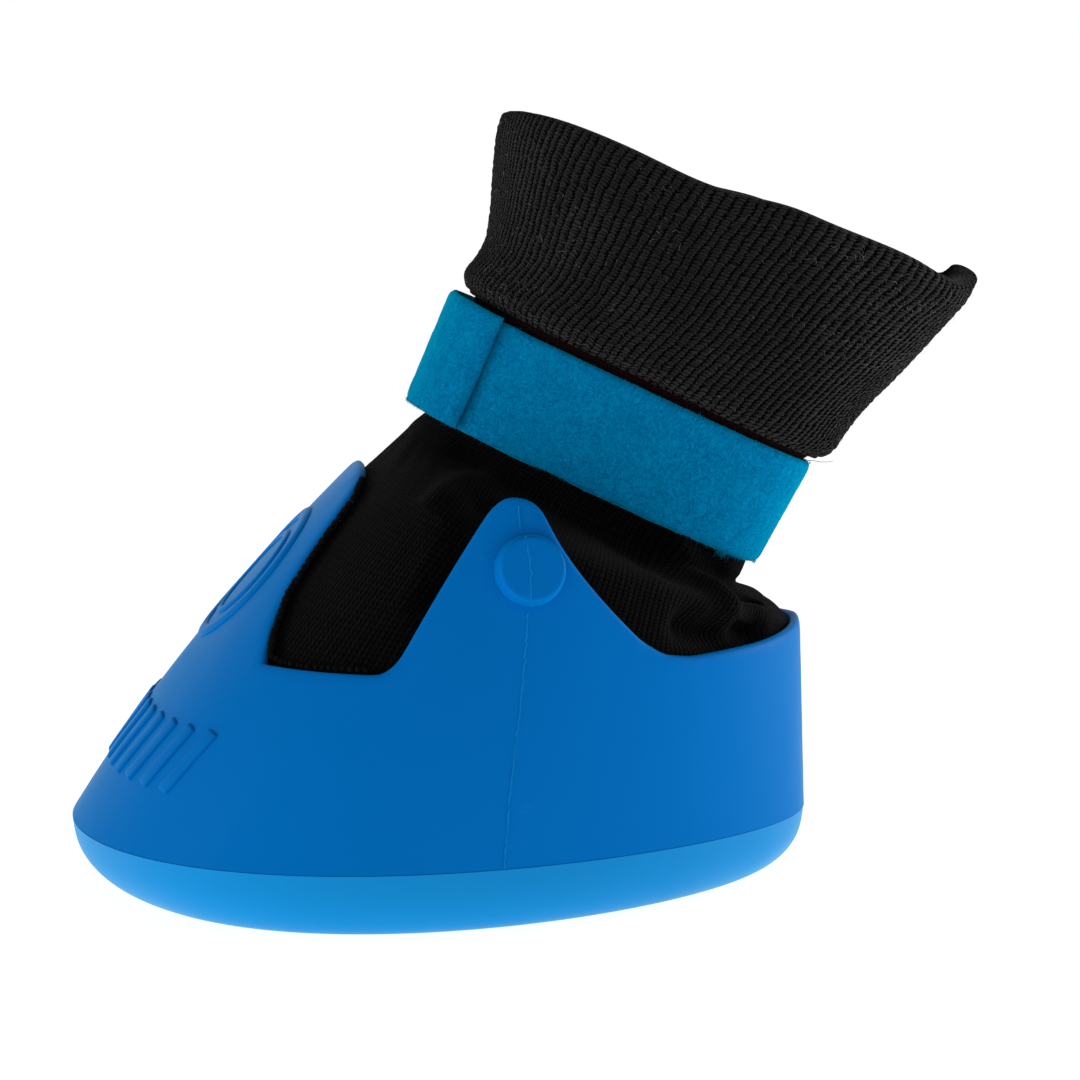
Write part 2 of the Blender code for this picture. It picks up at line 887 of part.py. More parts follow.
def build_tab(material, hook_material):
    """End of the strap, which lies over the band, with the hook patch on its inner face."""
    low, high = strap_edges()
    start = tab_root_angle + joint_split()
    tab = webbing(start, tab_end_angle, arm_lift, strap_thickness, low, high)
    hook_end = tab_end_angle - angle_of(hook_margin)
    hook_start = max(hook_end - angle_of(hook_length), start)
    hook = webbing(hook_start, hook_end, hook_lift, hook_thickness, low + hook_margin, high - hook_margin)
    for name, form, finish_used in (("strap_tab", tab, material), ("hook_patch", hook, hook_material)):
        set_origin(make_object(name, form, finish_used), strap_hinge(tab_root_angle, arm_lift))


def build_tack(material):
    """Row of stitches at the heel side, which fixes the band to the sock."""
    low, high = strap_edges()
    margin = (strap_width - tack_length) / 2
    half = angle_of(tack_width) / 2
    tack = webbing(math.pi - half, math.pi + half, hook_lift, tack_height, low + margin, high - margin)
    return make_object("strap_tack", tack, material)


def main():
    for old in list(bpy.data.objects):
        bpy.data.objects.remove(old, do_unlink=True)
    materials = {
        "shell": finish("shell_blue", (0.002, 0.13, 0.45), 0.38),
        "sole": finish("sole_blue", (0.01, 0.26, 0.62), 0.42),
        "foam": finish("foam_grey", (0.05, 0.05, 0.055), 0.9),
        "knit": finish("sock_black", (0.006, 0.006, 0.007), 0.95),
        "cuff": finish("cuff_black", (0.01, 0.01, 0.011), 0.95),
        "strap": finish("strap_teal", (0.002, 0.16, 0.33), 0.95),
        "hook": finish("hook_teal", (0.004, 0.12, 0.26), 0.6),
        "thread": finish("thread_teal", (0.004, 0.10, 0.22), 0.7),
    }
    build_outsole(materials["sole"])
    build_shell(materials["shell"])
    build_insole(materials["foam"])
    build_sock_foot(materials["knit"])
    build_sock_ankle(materials["knit"])
    leg_pieces = (
        build_sock_leg(materials["knit"]),
        build_cuff(materials["cuff"]),
        build_band(materials["strap"]),
        build_tack(materials["thread"]),
    )
    for piece in leg_pieces:
        set_origin(piece, ankle_centre())
    build_arm(materials["strap"])
    build_tab(materials["strap"], materials["hook"])


main()
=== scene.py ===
import math
import random

import bmesh
import bpy
import numpy as np
from mathutils import Matrix, Vector


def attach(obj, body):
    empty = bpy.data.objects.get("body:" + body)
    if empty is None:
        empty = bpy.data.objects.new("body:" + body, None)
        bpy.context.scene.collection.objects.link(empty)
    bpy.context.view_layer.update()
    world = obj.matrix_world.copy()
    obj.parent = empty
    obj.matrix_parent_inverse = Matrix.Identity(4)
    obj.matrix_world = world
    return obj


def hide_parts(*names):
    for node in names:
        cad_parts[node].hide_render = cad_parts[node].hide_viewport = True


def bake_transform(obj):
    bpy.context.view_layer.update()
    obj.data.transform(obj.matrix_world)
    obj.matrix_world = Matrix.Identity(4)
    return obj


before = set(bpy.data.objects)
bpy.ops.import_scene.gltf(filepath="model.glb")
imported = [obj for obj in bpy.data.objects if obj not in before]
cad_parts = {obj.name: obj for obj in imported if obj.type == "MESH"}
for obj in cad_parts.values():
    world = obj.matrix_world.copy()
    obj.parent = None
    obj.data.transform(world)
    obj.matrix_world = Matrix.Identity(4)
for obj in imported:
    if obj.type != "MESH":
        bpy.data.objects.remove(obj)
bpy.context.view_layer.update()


# Camera. It stands at the boot's side, a little ahead of square and above it, with a long lens.
def new_object(name, data):
    """An object in the scene that carries some data."""
    piece = bpy.data.objects.new(name, data)
    bpy.context.scene.collection.objects.link(piece)
    return piece


boot_middle = 0.0225
view_target = Vector((0.0, boot_middle, 0.0738))
view_turn = math.radians(5.0)
view_distance, view_height = 0.855, 0.1845
lens = bpy.data.cameras.new("side_view")
lens.lens = 129.0
lens.sensor_width = 36.0
camera = new_object("side_view", lens)
camera.location = (view_distance * math.cos(view_turn),
                   boot_middle - view_distance * math.sin(view_turn), view_height)
camera.rotation_euler = (view_target - camera.location).to_track_quat("-Z", "Y").to_euler()
bpy.context.scene.camera = camera
bpy.context.scene.view_settings.view_transform = "Standard"


# Studio. A lit white table throws light up on the boot, the room is white all round and softer
# overhead, and two broad soft lamps stand square to its toe and its heel.
def set_inputs(tree, node, inputs):
    """Joins sockets to a node's inputs, and sets plain values on the inputs themselves."""
    for key, value in inputs.items():
        if isinstance(value, bpy.types.NodeSocket):
            tree.links.new(value, node.inputs[key])
        else:
            node.inputs[key].default_value = value


def add_node(tree, kind, inputs=None, **settings):
    """A new node with its settings and inputs. Gives back its outputs."""
    node = tree.nodes.new("ShaderNode" + kind)
    for name, value in settings.items():
        setattr(node, name, value)
    set_inputs(tree, node, inputs or {})
    return node.outputs


def calc(tree, operation, *values):
    return add_node(tree, "Math", dict(enumerate(values)), operation=operation)[0]


def ranged(tree, value, before, after, **settings):
    """Carries a value over from one range of numbers to another."""
    limits = {"From Min": before[0], "From Max": before[1], "To Min": after[0], "To Max": after[1]}
    return add_node(tree, "MapRange", {"Value": value, **limits}, **settings)[0]


def seen_directly(tree):
    """1 for rays from the eye and for what gloss and glass show, 0 for light that falls on things."""
    path = add_node(tree, "LightPath")
    seen = calc(tree, "MAXIMUM", path["Is Camera Ray"], path["Is Glossy Ray"])
    return calc(tree, "MAXIMUM", seen, path["Is Transmission Ray"])


white = (1.0, 1.0, 1.0, 1.0)
bpy.ops.object.select_all(action="DESELECT")
bpy.ops.mesh.primitive_plane_add(size=60.0, location=(0.0, 0.0, -0.0002))
table = bpy.context.active_object
table.name = "table"
white_table = bpy.data.materials.new("white_table")
white_table.use_nodes = True
tree = white_table.node_tree
tree.nodes.clear()
matt = add_node(tree, "BsdfDiffuse", {"Color": (0.9, 0.9, 0.9, 1.0)})[0]
bright = add_node(tree, "Emission", {"Color": white, "Strength": 1.3})[0]
shown = add_node(tree, "MixShader", {0: 0.72, 1: matt, 2: bright})[0]
thrown = add_node(tree, "Emission", {"Color": white, "Strength": 1.45})[0]
both = add_node(tree, "MixShader", {0: seen_directly(tree), 1: thrown, 2: shown})[0]
add_node(tree, "OutputMaterial", {"Surface": both})
table.data.materials.append(white_table)

room = bpy.data.worlds.new("white_room")
bpy.context.scene.world = room
room.use_nodes = True
tree = room.node_tree
tree.nodes.clear()
height = add_node(tree, "SeparateXYZ", {0: add_node(tree, "TexCoord")["Generated"]})["Z"]
falloff = ranged(tree, height, (0.0, 0.9), (0.62, 0.25))
around = add_node(tree, "Background", {"Color": white, "Strength": falloff})[0]
behind = add_node(tree, "Background", {"Color": white, "Strength": 1.0})[0]
both = add_node(tree, "MixShader", {0: seen_directly(tree), 1: around, 2: behind})[0]
add_node(tree, "OutputWorld", {"Surface": both})

lamp_aim = Vector((0.0, 0.02, 0.06))
for name, place, power in (("toe_lamp", (0.12, -1.0, 0.16), 4.2), ("heel_lamp", (-0.36, 1.0, 0.20), 7.5)):
    light = bpy.data.lights.new(name, "AREA")
    light.energy = power
    light.size = 0.5
    lamp = new_object(name, light)
    lamp.location = place
    lamp.rotation_euler = (lamp_aim - Vector(place)).to_track_quat("-Z", "Y").to_euler()


# Shell. One satin moulding in blue elastomer, with a toe shield, two flaps with a stud on each and a
# heel cup. It came out of a two-part mould. Its mesh is the moulded solid's with its facets rounded.
def pick(pieces):
    """Selects these pieces and nothing else, with the first of them active."""
    bpy.ops.object.select_all(action="DESELECT")
    for piece in pieces:
        piece.select_set(True)
    bpy.context.view_layer.objects.active = pieces[0]


def merged_copy(node, name):
    """A copy of a moulded solid with its triangles joined into one skin of mostly four-sided faces."""
    piece = new_object(name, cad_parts[node].data.copy())
    pick([piece])
    bpy.ops.object.mode_set(mode="EDIT")
    bpy.ops.mesh.select_all(action="SELECT")
    bpy.ops.mesh.remove_doubles(threshold=1e-5)
    bpy.ops.mesh.tris_convert_to_quads(face_threshold=math.radians(30), shape_threshold=math.radians(40))
    bpy.ops.object.mode_set(mode="OBJECT")
    piece.data.materials.clear()
    return piece


def smooth_moulding(piece, corner):
    """Rounds the facets away and keeps what turns by more than the corner angle crisp."""
    pick([piece])
    bpy.ops.object.mode_set(mode="EDIT")
    bpy.ops.mesh.select_all(action="DESELECT")
    bpy.ops.mesh.edges_select_sharp(sharpness=corner)
    bpy.ops.transform.edge_crease(value=1.0)
    bpy.ops.object.mode_set(mode="OBJECT")
    rounding = piece.modifiers.new("rounding", "SUBSURF")
    rounding.levels = rounding.render_levels = 2
    bpy.ops.object.modifier_apply(modifier="rounding")
    bpy.ops.object.shade_smooth_by_angle(angle=math.radians(35))


def new_material(name):
    """Gives back a new material, its nodes and the places that its patterns can follow."""
    material = bpy.data.materials.new(name)
    material.use_nodes = True
    return material, material.node_tree, add_node(material.node_tree, "TexCoord")


def finish_material(material, inputs):
    tree = material.node_tree
    set_inputs(tree, tree.nodes["Principled BSDF"], inputs)
    return material


def noise(tree, place, scale, detail=2.0, **inputs):
    return add_node(tree, "TexNoise", {"Vector": place, "Scale": scale, "Detail": detail, **inputs})[0]


def mixed(tree, share, first, second, **settings):
    return add_node(tree, "Mix", {0: share, "A": first, "B": second}, data_type="RGBA", **settings)[2]


def bumped(tree, height, strength, distance, **inputs):
    return add_node(tree, "Bump", {"Height": height, "Strength": strength, "Distance": distance, **inputs})[0]


def moulded_elastomer(name, colour, pale, index):
    """Satin elastomer: slow drifts of colour, a fine skin texture and faint scuffs."""
    material, tree, coords = new_material(name)
    place = coords["Object"]
    cloud = mixed(tree, noise(tree, place, 11.0, 3.0), colour, pale)
    patch = noise(tree, place, 34.0)
    dust = calc(tree, "MULTIPLY", noise(tree, place, 210.0, 4.0, Roughness=0.7), patch)
    scuff = ranged(tree, dust, (0.41, 0.50), (0.0, 0.14))
    skin = bumped(tree, noise(tree, place, 1500.0), 0.16, 0.00012)
    return finish_material(material, {
        "Base Color": mixed(tree, scuff, cloud, (0.03, 0.24, 0.55, 1.0)),
        "Roughness": ranged(tree, patch, (0.3, 0.7), (0.33, 0.45)),
        "Normal": bumped(tree, noise(tree, place, 48.0), 0.22, 0.0009, Normal=skin),
        "IOR": index, "Specular IOR Level": 0.5,
        "Sheen Weight": 0.10, "Sheen Roughness": 0.35, "Sheen Tint": (0.0, 0.85, 0.5, 1.0)})


shell_blue = moulded_elastomer("shell_elastomer", colour=(0.0002, 0.133, 0.458, 1.0),
                               pale=(0.0003, 0.148, 0.483, 1.0), index=1.06)
shell = merged_copy("shell", "shell_moulding")
smooth_moulding(shell, corner=math.radians(68))
shell.data.materials.append(shell_blue)
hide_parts("shell")
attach(shell, "boot")


# Raised forms on the toe. A plain ring on the shield and a row of slanted grip bars across the toe,
# moulded in one with the wall and standing half a millimetre off it.
parting_height = 0.014
toe_slope = 0.62


def foot_outline(z):
    """Toe, heel and half width of the wall's outline at a height."""
    rise = np.maximum(z - parting_height, 0.0)
    share = rise / 0.078
    toe = -0.082 + toe_slope * rise + 0.0158 * share**2
    return toe, 0.082 - 0.03 * rise, 0.072 - 0.14 * rise - 0.0073 * share**2


def outer_wall(angle, z):
    toe, heel, half = foot_outline(z)
    x = half * np.sin(angle) * (1 + 0.235 * np.cos(angle))
    y = (toe + heel) / 2 - (heel - toe) / 2 * np.cos(angle)
    return np.stack(np.broadcast_arrays(x, y, z), -1)


def unit(vectors):
    return vectors / np.linalg.norm(vectors, axis=-1, keepdims=True)


def wall_normal(angle, z):
    base = np.maximum(z, parting_height + 1e-5)
    across = outer_wall(angle + 1e-4, z) - outer_wall(angle - 1e-4, z)
    return unit(np.cross(across, outer_wall(angle, base + 1e-5) - outer_wall(angle, base - 1e-5)))


def distance_along(points):
    """How far each point of a row lies from the row's start, along the row."""
    return np.concatenate([[0.0], np.cumsum(np.linalg.norm(np.diff(points, axis=0), axis=1))])


def on_wall(across, up, out, middle):
    """Wall point at a distance across and up the slope from the toe line at the middle height."""
    turns = np.linspace(-1.2, 1.2, 241)
    distance = distance_along(outer_wall(turns, middle))
    angle = np.interp(across, distance - distance[120], turns)
    slope = toe_slope + 5.2 * (middle - parting_height)
    z = middle + up / math.sqrt(1 + slope**2)
    return outer_wall(angle, z) + wall_normal(angle, z) * np.expand_dims(out, -1)


def points_of(piece):
    return np.array([v.co[:] for v in piece.data.vertices])


def wrap_on_toe(piece, across, middle):
    """Lays a flat moulding on the toe: its X runs across, its Y up the slope and its Z off the wall."""
    flat = points_of(piece)
    laid = on_wall(flat[:, 0] + across, flat[:, 1], flat[:, 2], middle)
    piece.data.vertices.foreach_set("co", laid.ravel())
    piece.data.update()


def joined(pieces, name):
    """One piece made of several."""
    pick(pieces)
    bpy.ops.object.join()
    piece = bpy.context.active_object
    piece.name = name
    return piece


ring_height = 0.0675
bar_height = 0.0335
bar_count = 12
bar_pitch = 0.0088
bar_size = (0.0040, 0.0165, 0.0013)
bar_reach = 0.004
raised = []
for radius, thickness, relief in ((0.0172, 0.0018, 0.0007), (0.0112, 0.0011, 0.0005)):
    bpy.ops.object.select_all(action="DESELECT")
    bpy.ops.mesh.primitive_torus_add(major_segments=96, minor_segments=12, major_radius=radius,
                                     minor_radius=thickness)
    ring = bpy.context.active_object
    bpy.ops.object.mode_set(mode="EDIT")
    bpy.ops.transform.resize(value=(1.0, 1.0, relief / thickness))
    bpy.ops.object.mode_set(mode="OBJECT")
    wrap_on_toe(ring, 0.0, ring_height)
    raised.append(ring)
for i in range(bar_count):
    bpy.ops.object.select_all(action="DESELECT")
    bpy.ops.mesh.primitive_cube_add(size=1.0, scale=bar_size)
    bar = bpy.context.active_object
    bpy.ops.object.transform_apply(location=False, rotation=False, scale=True)
    bpy.ops.object.mode_set(mode="EDIT")
    bpy.ops.mesh.bevel(offset=0.0006, segments=3, affect="EDGES")
    bpy.ops.mesh.select_all(action="SELECT")
    bpy.ops.transform.rotate(value=math.radians(16), orient_axis="Z", center_override=(0.0, 0.0, 0.0))
    for cut in (bar_reach, -bar_reach):
        bpy.ops.mesh.select_all(action="SELECT")
        bpy.ops.mesh.bisect(plane_co=(0.0, cut, 0.0), plane_no=(0.0, 1.0, 0.0))
    bpy.ops.object.mode_set(mode="OBJECT")
    wrap_on_toe(bar, (i - (bar_count - 1) / 2) * bar_pitch, bar_height)
    raised.append(bar)
raised_forms = joined(raised, "raised_toe_forms")
bpy.ops.object.transform_apply(location=True, rotation=True, scale=True)
bpy.ops.object.shade_smooth_by_angle(angle=math.radians(50))
raised_forms.data.materials.append(shell_blue)
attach(raised_forms, "boot")

# Mould flash. The thin raised line where the two halves of the mould met, up each side from the
# parting line, over the stud's face and on to the flap's top.
flash_lines = []
random.seed(3)
# Where the line runs, by its height, and its three stretches with how far each stands off the wall:
# below the stud, over the stud's face and above the stud. It is sunk a little, so it has no gap.
flash_heights = (0.0138, 0.0286, 0.0345, 0.0535, 0.0668, 0.0690, 0.0750, 0.0816, 0.0836, 0.09)
flash_places = (0.0088, 0.0102, 0.0109, 0.0134, 0.0146, 0.0145, 0.0148, 0.0142, 0.0133, 0.0132)
stretches = ((0.0145, 0.0668, 0.0), (0.0690, 0.0816, 0.0034), (0.0836, 0.0882, 0.0))
sunk = 0.00004
for side in (1, -1):
    curve = bpy.data.curves.new("flash", "CURVE")
    curve.dimensions = "3D"
    curve.bevel_depth = 0.00022
    curve.bevel_resolution = 1
    for low, high, out in stretches:
        heights = np.linspace(low, high, max(6, int((high - low) / 0.0008)))
        along = np.interp(heights, flash_heights, flash_places)
        along = along + np.array([random.gauss(0.0, 0.00010) for _ in heights])
        toe, heel, half = foot_outline(heights)
        angle = side * np.arccos(((toe + heel) / 2 - along) / ((heel - toe) / 2))
        points = outer_wall(angle, heights) + wall_normal(angle, heights) * (out - sunk)
        spline = curve.splines.new("POLY")
        spline.points.add(len(points) - 1)
        for point, place in zip(spline.points, points):
            point.co = (*place, 1.0)
            point.radius = random.choice((0.55, 0.8, 0.9, 1.0, 1.0, 1.15, 1.4))
    flash_lines.append(new_object("flash", curve))
pick(flash_lines)
bpy.ops.object.convert(target="MESH")
flash = joined(flash_lines, "mould_flash")
bpy.ops.object.shade_smooth_by_angle(angle=math.radians(60))
# Painted highlight: the flash's colours are lighter than the shell's, for the light that its thin ridge
# catches.
flash.data.materials.append(
    moulded_elastomer("flash_elastomer_painted_lighter", colour=(0.001, 0.165, 0.50, 1.0), pale=(0.004, 0.20, 0.54, 1.0),
                      index=1.06))
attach(flash, "boot")

# Outsole. The tread moulding under the parting line, painted a lighter blue than the shell as painted
# light from the table below, with rounded ground edges and a slotted underside. Its top edge closes up
# to the shell.
outsole = merged_copy("outsole", "outsole_moulding")
foot = points_of(outsole)
# The two rows of points at the top edge are raised, which closes the groove under the shell.
for level, rise in ((0.0136, 0.00055), (0.0140, 0.00024)):
    foot[:, 2] += np.where(np.abs(foot[:, 2] - level) < 0.0001, rise, 0.0)
outsole.data.vertices.foreach_set("co", foot.ravel())
smooth_moulding(outsole, corner=math.radians(50))
# Painted light: its colours are lighter than the shell's, for the light thrown up on it from the table.
outsole.data.materials.append(
    moulded_elastomer("outsole_elastomer", colour=(0.0002, 0.205, 0.545, 1.0),
                      pale=(0.0004, 0.234, 0.58, 1.0), index=1.16))
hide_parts("outsole")
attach(outsole, "boot")

# Insole. A loose pad of closed-cell foam on the shoe's floor, under the sock, cut to the shoe's
# outline and a little domed.
insole = merged_copy("insole_pad", "insole_foam_pad")
smooth_moulding(insole, corner=math.radians(75))
foot = points_of(insole)
edge_drop = 0.0002
pad_top = 0.0205
crown = edge_drop * np.clip(1 - (foot[:, 0] / 0.06)**2 - (foot[:, 1] / 0.07)**2, 0, 1)
foot[:, 2] -= np.where(foot[:, 2] > pad_top, edge_drop - crown, 0.0)
insole.data.vertices.foreach_set("co", foot.ravel())
foam, tree, coords = new_material("closed_cell_foam")
cells = add_node(tree, "TexVoronoi", {"Vector": coords["Object"], "Scale": 1100.0})[0]
finish_material(foam, {"Base Color": ranged(tree, cells, (0.0, 1.0), (0.03, 0.075)),
                       "Normal": bumped(tree, cells, 0.5, 0.0003), "Roughness": 0.92})
insole.data.materials.append(foam)
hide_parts("insole_pad")
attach(insole, "boot")

# Sock. A black rib-knit tube with a closed foot. It lines the shell, gathers in at the pastern, runs
# up under the strap and goes on inside the turned-down cuff.
ankle = np.array((0.0, 0.02974, 0.08315))
axis = np.array((0.0, 0.42578, 0.90483))
heelward = np.array((0.0, 0.90483, -0.42578))
floor_height = 0.0236
sock_inset = 0.0028
waist_start, cuff_start = 0.0044, 0.0296
# The leg's section where the shoulder ends: its length, its width and how far it sits to the rear.
neck = (0.0806, 0.0530, 0.0008)


def smooth(value, low, high):
    share = np.clip((value - low) / (high - low), 0.0, 1.0)
    return share * share * (3 - 2 * share)


def blend_of(low, high, share):
    return low + (high - low) * share


def toward_heel(angle):
    return (1 - np.cos(angle)) / 2


def oval(angle, length, width, shift):
    flat = (np.abs(np.cos(angle))**2.4 + np.abs(np.sin(angle))**2.4)**(-1 / 2.4)
    return flat * np.sin(angle) * width / 2, shift - flat * np.cos(angle) * length / 2


def round_leg(angle, up, size, depth):
    """Point round the leg, off its oval section by a depth, at a distance up the leg's axis."""
    x, along = oval(angle, *size)
    after = oval(angle + 1e-4, *size)
    before = oval(angle - 1e-4, *size)
    run, climb = after[0] - before[0], after[1] - before[1]
    length = np.hypot(run, climb)
    x, along = x + climb / length * depth, along - run / length * depth
    x, along, up = np.broadcast_arrays(x, along, up)
    place = along[..., None] * heelward + up[..., None] * axis + ankle
    place[..., 0] += x
    return place


def inner_wall(angle, z, depth):
    normal = wall_normal(angle, z) * (1.0, 1.0, 0.0)
    return outer_wall(angle, z) - normal * (depth / (normal**2).sum(-1))[..., None]


def collar(angle):
    """Height at which the sock leaves the wall: high behind the shield, low at the heel."""
    front, rear = 0.0901, 0.0549
    start = outer_wall(0.0, front)[1]
    end = outer_wall(math.pi, rear)[1]
    z = blend_of(front, rear, toward_heel(angle))
    for _ in range(12):
        z = front + (rear - front) / (end - start) * (outer_wall(angle, z)[..., 1] - start)
    return z


def lining(angle, share, depth):
    return inner_wall(angle, blend_of(floor_height, collar(angle), share), sock_inset + depth)


def shoulder(angle, share):
    """Where the sock draws in from the wall to the leg."""
    start = lining(angle, 1.0, 0.0)
    rise = unit(start - lining(angle, 0.9, 0.0))
    end = round_leg(angle, -0.0003, neck, 0.0)
    span = np.linalg.norm(end - start, axis=-1, keepdims=True)
    first = inner_wall(angle, start[..., 2] + (rise * span)[..., 2] * 0.28, 0.0031)
    second = end - axis * span * blend_of(0.12, 0.30, toward_heel(angle))[..., None]
    rest = 1 - share
    return start * rest**3 + first * (3 * rest**2 * share) + second * (3 * rest * share**2) + end * share**3


def waist(up):
    """The leg's section under the strap, at a distance up the leg."""
    share = (up - waist_start) / (cuff_start - waist_start)
    return 0.0780 + 0.0027 * share, 0.0530 + 0.0018 * share, 0.0018 + 0.0004 * share


def through(value, places, levels):
    """A soft curve through a row of levels."""
    fine = np.linspace(places[0], places[-1], 401)
    line = np.interp(fine, places, levels)
    padded = np.concatenate([np.full(16, line[0]), line, np.full(16, line[-1])])
    return np.interp(value, fine, np.convolve(padded, np.full(33, 1 / 33), "valid"))


# The cuff's reach to the front and to the rear and its width, at the hem and at the mouth, and how
# much of the way between the two its front and rear lines have gone at each level.
front_reach, rear_reach, cuff_width = (0.0426, 0.0503), (0.0474, 0.0612), (0.0620, 0.0590)
cuff_levels = (0.0, 0.10, 0.18, 0.30, 0.47, 0.65, 0.84, 0.93, 1.0)
front_line = (0.00, 0.06, -0.08, -0.13, 0.12, 0.49, 0.85, 0.98, 1.02)
rear_line = (0.02, 0.08, 0.13, 0.26, 0.50, 0.71, 0.92, 1.01, 1.0)
# At the front and at the heel: how far the hem stands above the strap's top, and the cuff's height.
hem_gap, cuff_height = (0.0028, 0.0019), (0.0391, 0.0497)


def cuff_size(share):
    """The cuff's section at a share of its height: its length, its width and its shift to the rear."""
    front = blend_of(*front_reach, through(share, cuff_levels, front_line))
    rear = blend_of(*rear_reach, through(share, cuff_levels, rear_line))
    return front + rear, blend_of(*cuff_width, share), (rear - front) / 2


def from_front(angle):
    """An angle round the leg, brought to within half a turn of the front."""
    return (angle + math.pi) % math.tau - math.pi


def cuff_up(angle, share):
    """Height on the leg at a share of the cuff: level at the hem, sagging a little at the mouth."""
    base = cuff_start + blend_of(*hem_gap, toward_heel(angle))
    height = blend_of(*cuff_height, toward_heel(angle))
    turn = np.abs(from_front(angle))
    sag = 0.0003 + 0.0012 * np.exp(-((turn - 1.36) / 0.24)**2) - 0.0008 * np.exp(-((turn - 0.75) / 0.40)**2)
    sag = sag + 0.0012 * np.exp(-(turn / 0.30)**2) - 0.0006 * np.exp(-((turn - 1.70) / 0.15)**2)
    return base + (height - sag * smooth(share, 0.3, 1.0)) * share


def grid_normals(grid):
    around = np.roll(grid, -1, 1) - np.roll(grid, 1, 1)
    return unit(np.cross(around, np.gradient(grid, axis=0)) + 1e-12)


def skin_mesh(name, grid, close_rows, close_columns, uv):
    """A mesh on a grid of points, joined across its first and last rows and columns where they meet."""
    rows, columns = grid.shape[:2]
    number = np.arange(rows * columns).reshape(rows, columns)
    down = np.concatenate([number, number[:1]]) if close_rows else number
    both = np.concatenate([down, down[:, :1]], 1) if close_columns else down
    faces = np.stack([both[:-1, :-1], both[:-1, 1:], both[1:, 1:], both[1:, :-1]], -1).reshape(-1, 4)
    mesh = bpy.data.meshes.new(name)
    mesh.from_pydata(grid.reshape(-1, 3).tolist(), [], faces.tolist())
    layer = mesh.uv_layers.new(name="threads")
    pair = np.stack(uv(*np.indices(both.shape)), -1)
    corners = np.stack([pair[:-1, :-1], pair[:-1, 1:], pair[1:, 1:], pair[1:, :-1]], -2)
    layer.data.foreach_set("uv", corners.ravel())
    mesh.shade_smooth()
    return new_object(name, mesh)


def close_skin(piece, *ends):
    """Closes each end, a row of points, with a face, and turns all the faces outwards."""
    shape = bmesh.new()
    shape.from_mesh(piece.data)
    shape.verts.ensure_lookup_table()
    for end in ends:
        shape.faces.new([shape.verts[i] for i in end])
    bmesh.ops.recalc_face_normals(shape, faces=shape.faces)
    shape.to_mesh(piece.data)
    shape.free()


sock_columns = 300
angles = np.arange(sock_columns) * (math.tau / sock_columns)
middle = np.array((0.0, 0.004, floor_height))
floor_edge = inner_wall(angles, floor_height, sock_inset)
rows = [middle + (floor_edge - middle) * share for share in (0.04, 0.25, 0.5, 0.7, 0.85, 0.94)]
corner_radius = 0.0022
for turn in (0.3, 0.6, 0.85):
    edge = lining(angles, 0.0, corner_radius * (1 - math.sin(turn * math.pi / 2)))
    edge[:, 2] += corner_radius * (1 - math.cos(turn * math.pi / 2))
    rows.append(edge)
rows += [lining(angles, share, 0.0) for share in np.linspace(0.06, 1.0, 34)]
shoulder_start = len(rows)
rows += [shoulder(angles, share) for share in np.linspace(0.025, 1.0, 40)]
leg_start = len(rows)
for up in np.concatenate([np.linspace(0.0008, waist_start, 5), np.linspace(0.0060, cuff_start, 14)]):
    size = waist(max(up, waist_start))
    if up < waist_start:
        size = tuple(blend_of(a, b, up / waist_start) for a, b in zip(neck, size))
    rows.append(round_leg(angles, up, size, 0.0))
for share in np.linspace(0.0, 0.985, 14):
    rows.append(round_leg(angles, cuff_up(angles, share), cuff_size(share), -0.0039))
grid = np.stack(rows)


def along_line(points, line):
    """Distance of each point from a line drawn through a few places."""
    nearest = np.full(points.shape[:-1], 1.0)
    for start, end in zip(line, line[1:]):
        start, run = np.array(start), np.array(end) - np.array(start)
        share = np.clip((points - start) @ run / (run @ run), 0, 1)
        nearest = np.minimum(nearest, np.linalg.norm(points - start - share[..., None] * run, axis=-1))
    return nearest


# Where the slack knit folds: a line of places in millimetres, then the fold's width and its height.
# Creases have a height below nothing. Each is on the near side, and its twin is on the far side.
side_folds = (
    (((25, 51, 75.5), (26, 55, 70), (29, 58.5, 65.5), (32, 61, 62), (33, 61.5, 59.5)), 0.0038, 0.0028),
    (((43, 50, 60.5), (40, 54, 58.5), (36, 59, 57.5), (32, 63, 57.5), (27, 67, 57.5)), 0.0035, -0.0052),
    (((23, 62.5, 64.5), (19, 65.5, 63), (16, 68, 61.8)), 0.0019, -0.0031),
    (((19, 58, 74), (16, 62, 70.5), (13, 64.7, 68)), 0.0028, 0.0012),
    (((21, 56.5, 73.5), (18.5, 60.5, 69.5), (19, 62.5, 66)), 0.0014, -0.0012),
    (((26, 25, 89.5), (25, 18.5, 92), (25, 12, 93.5), (31, 4, 91.5), (42, -2, 88), (48, -8, 81),
      (52, -12, 72)), 0.0038, 0.0022),
    (((25, 31, 84), (28, 39, 79), (33, 46, 72)), 0.0065, -0.0016),
    (((40, 8, 87.5), (50, 4, 83.5), (54, 0, 77.5), (57, -5.5, 69)), 0.0040, -0.0030),
    (((19, 4, 96.5), (22, 8, 95), (23.5, 12, 94.5), (25, 16, 93)), 0.0026, -0.0022))
heel_folds = ((((24, 66.5, 61.5), (13, 71.5, 60.5), (0, 73, 60), (-13, 71.5, 60.5), (-24, 66.5, 61.5)),
               0.0042, 0.0010),
              (((11, 65, 65.5), (0, 66, 65), (-11, 65, 65.5)), 0.0014, -0.0008))
folds = [(np.array(line) * 0.001, width, height) for line, width, height in side_folds + heel_folds]
for line, width, height in side_folds:
    folds.append((np.array(line) * (-0.001, 0.001, 0.001) + (0, 0.0016, 0.0008), width * 1.15, height * 0.85))
level = np.zeros(grid.shape[:2])
for line, width, height in folds:
    level += height * np.exp(-(along_line(grid, line) / width)**2)
level[:shoulder_start] = np.minimum(level[:shoulder_start], 0.0)
height = np.arange(len(grid))
level *= smooth(height, shoulder_start - 20.0, shoulder_start - 14.0)[:, None]
level *= 1 - smooth(height, leg_start + 4.0, leg_start + 8.0)[:, None]
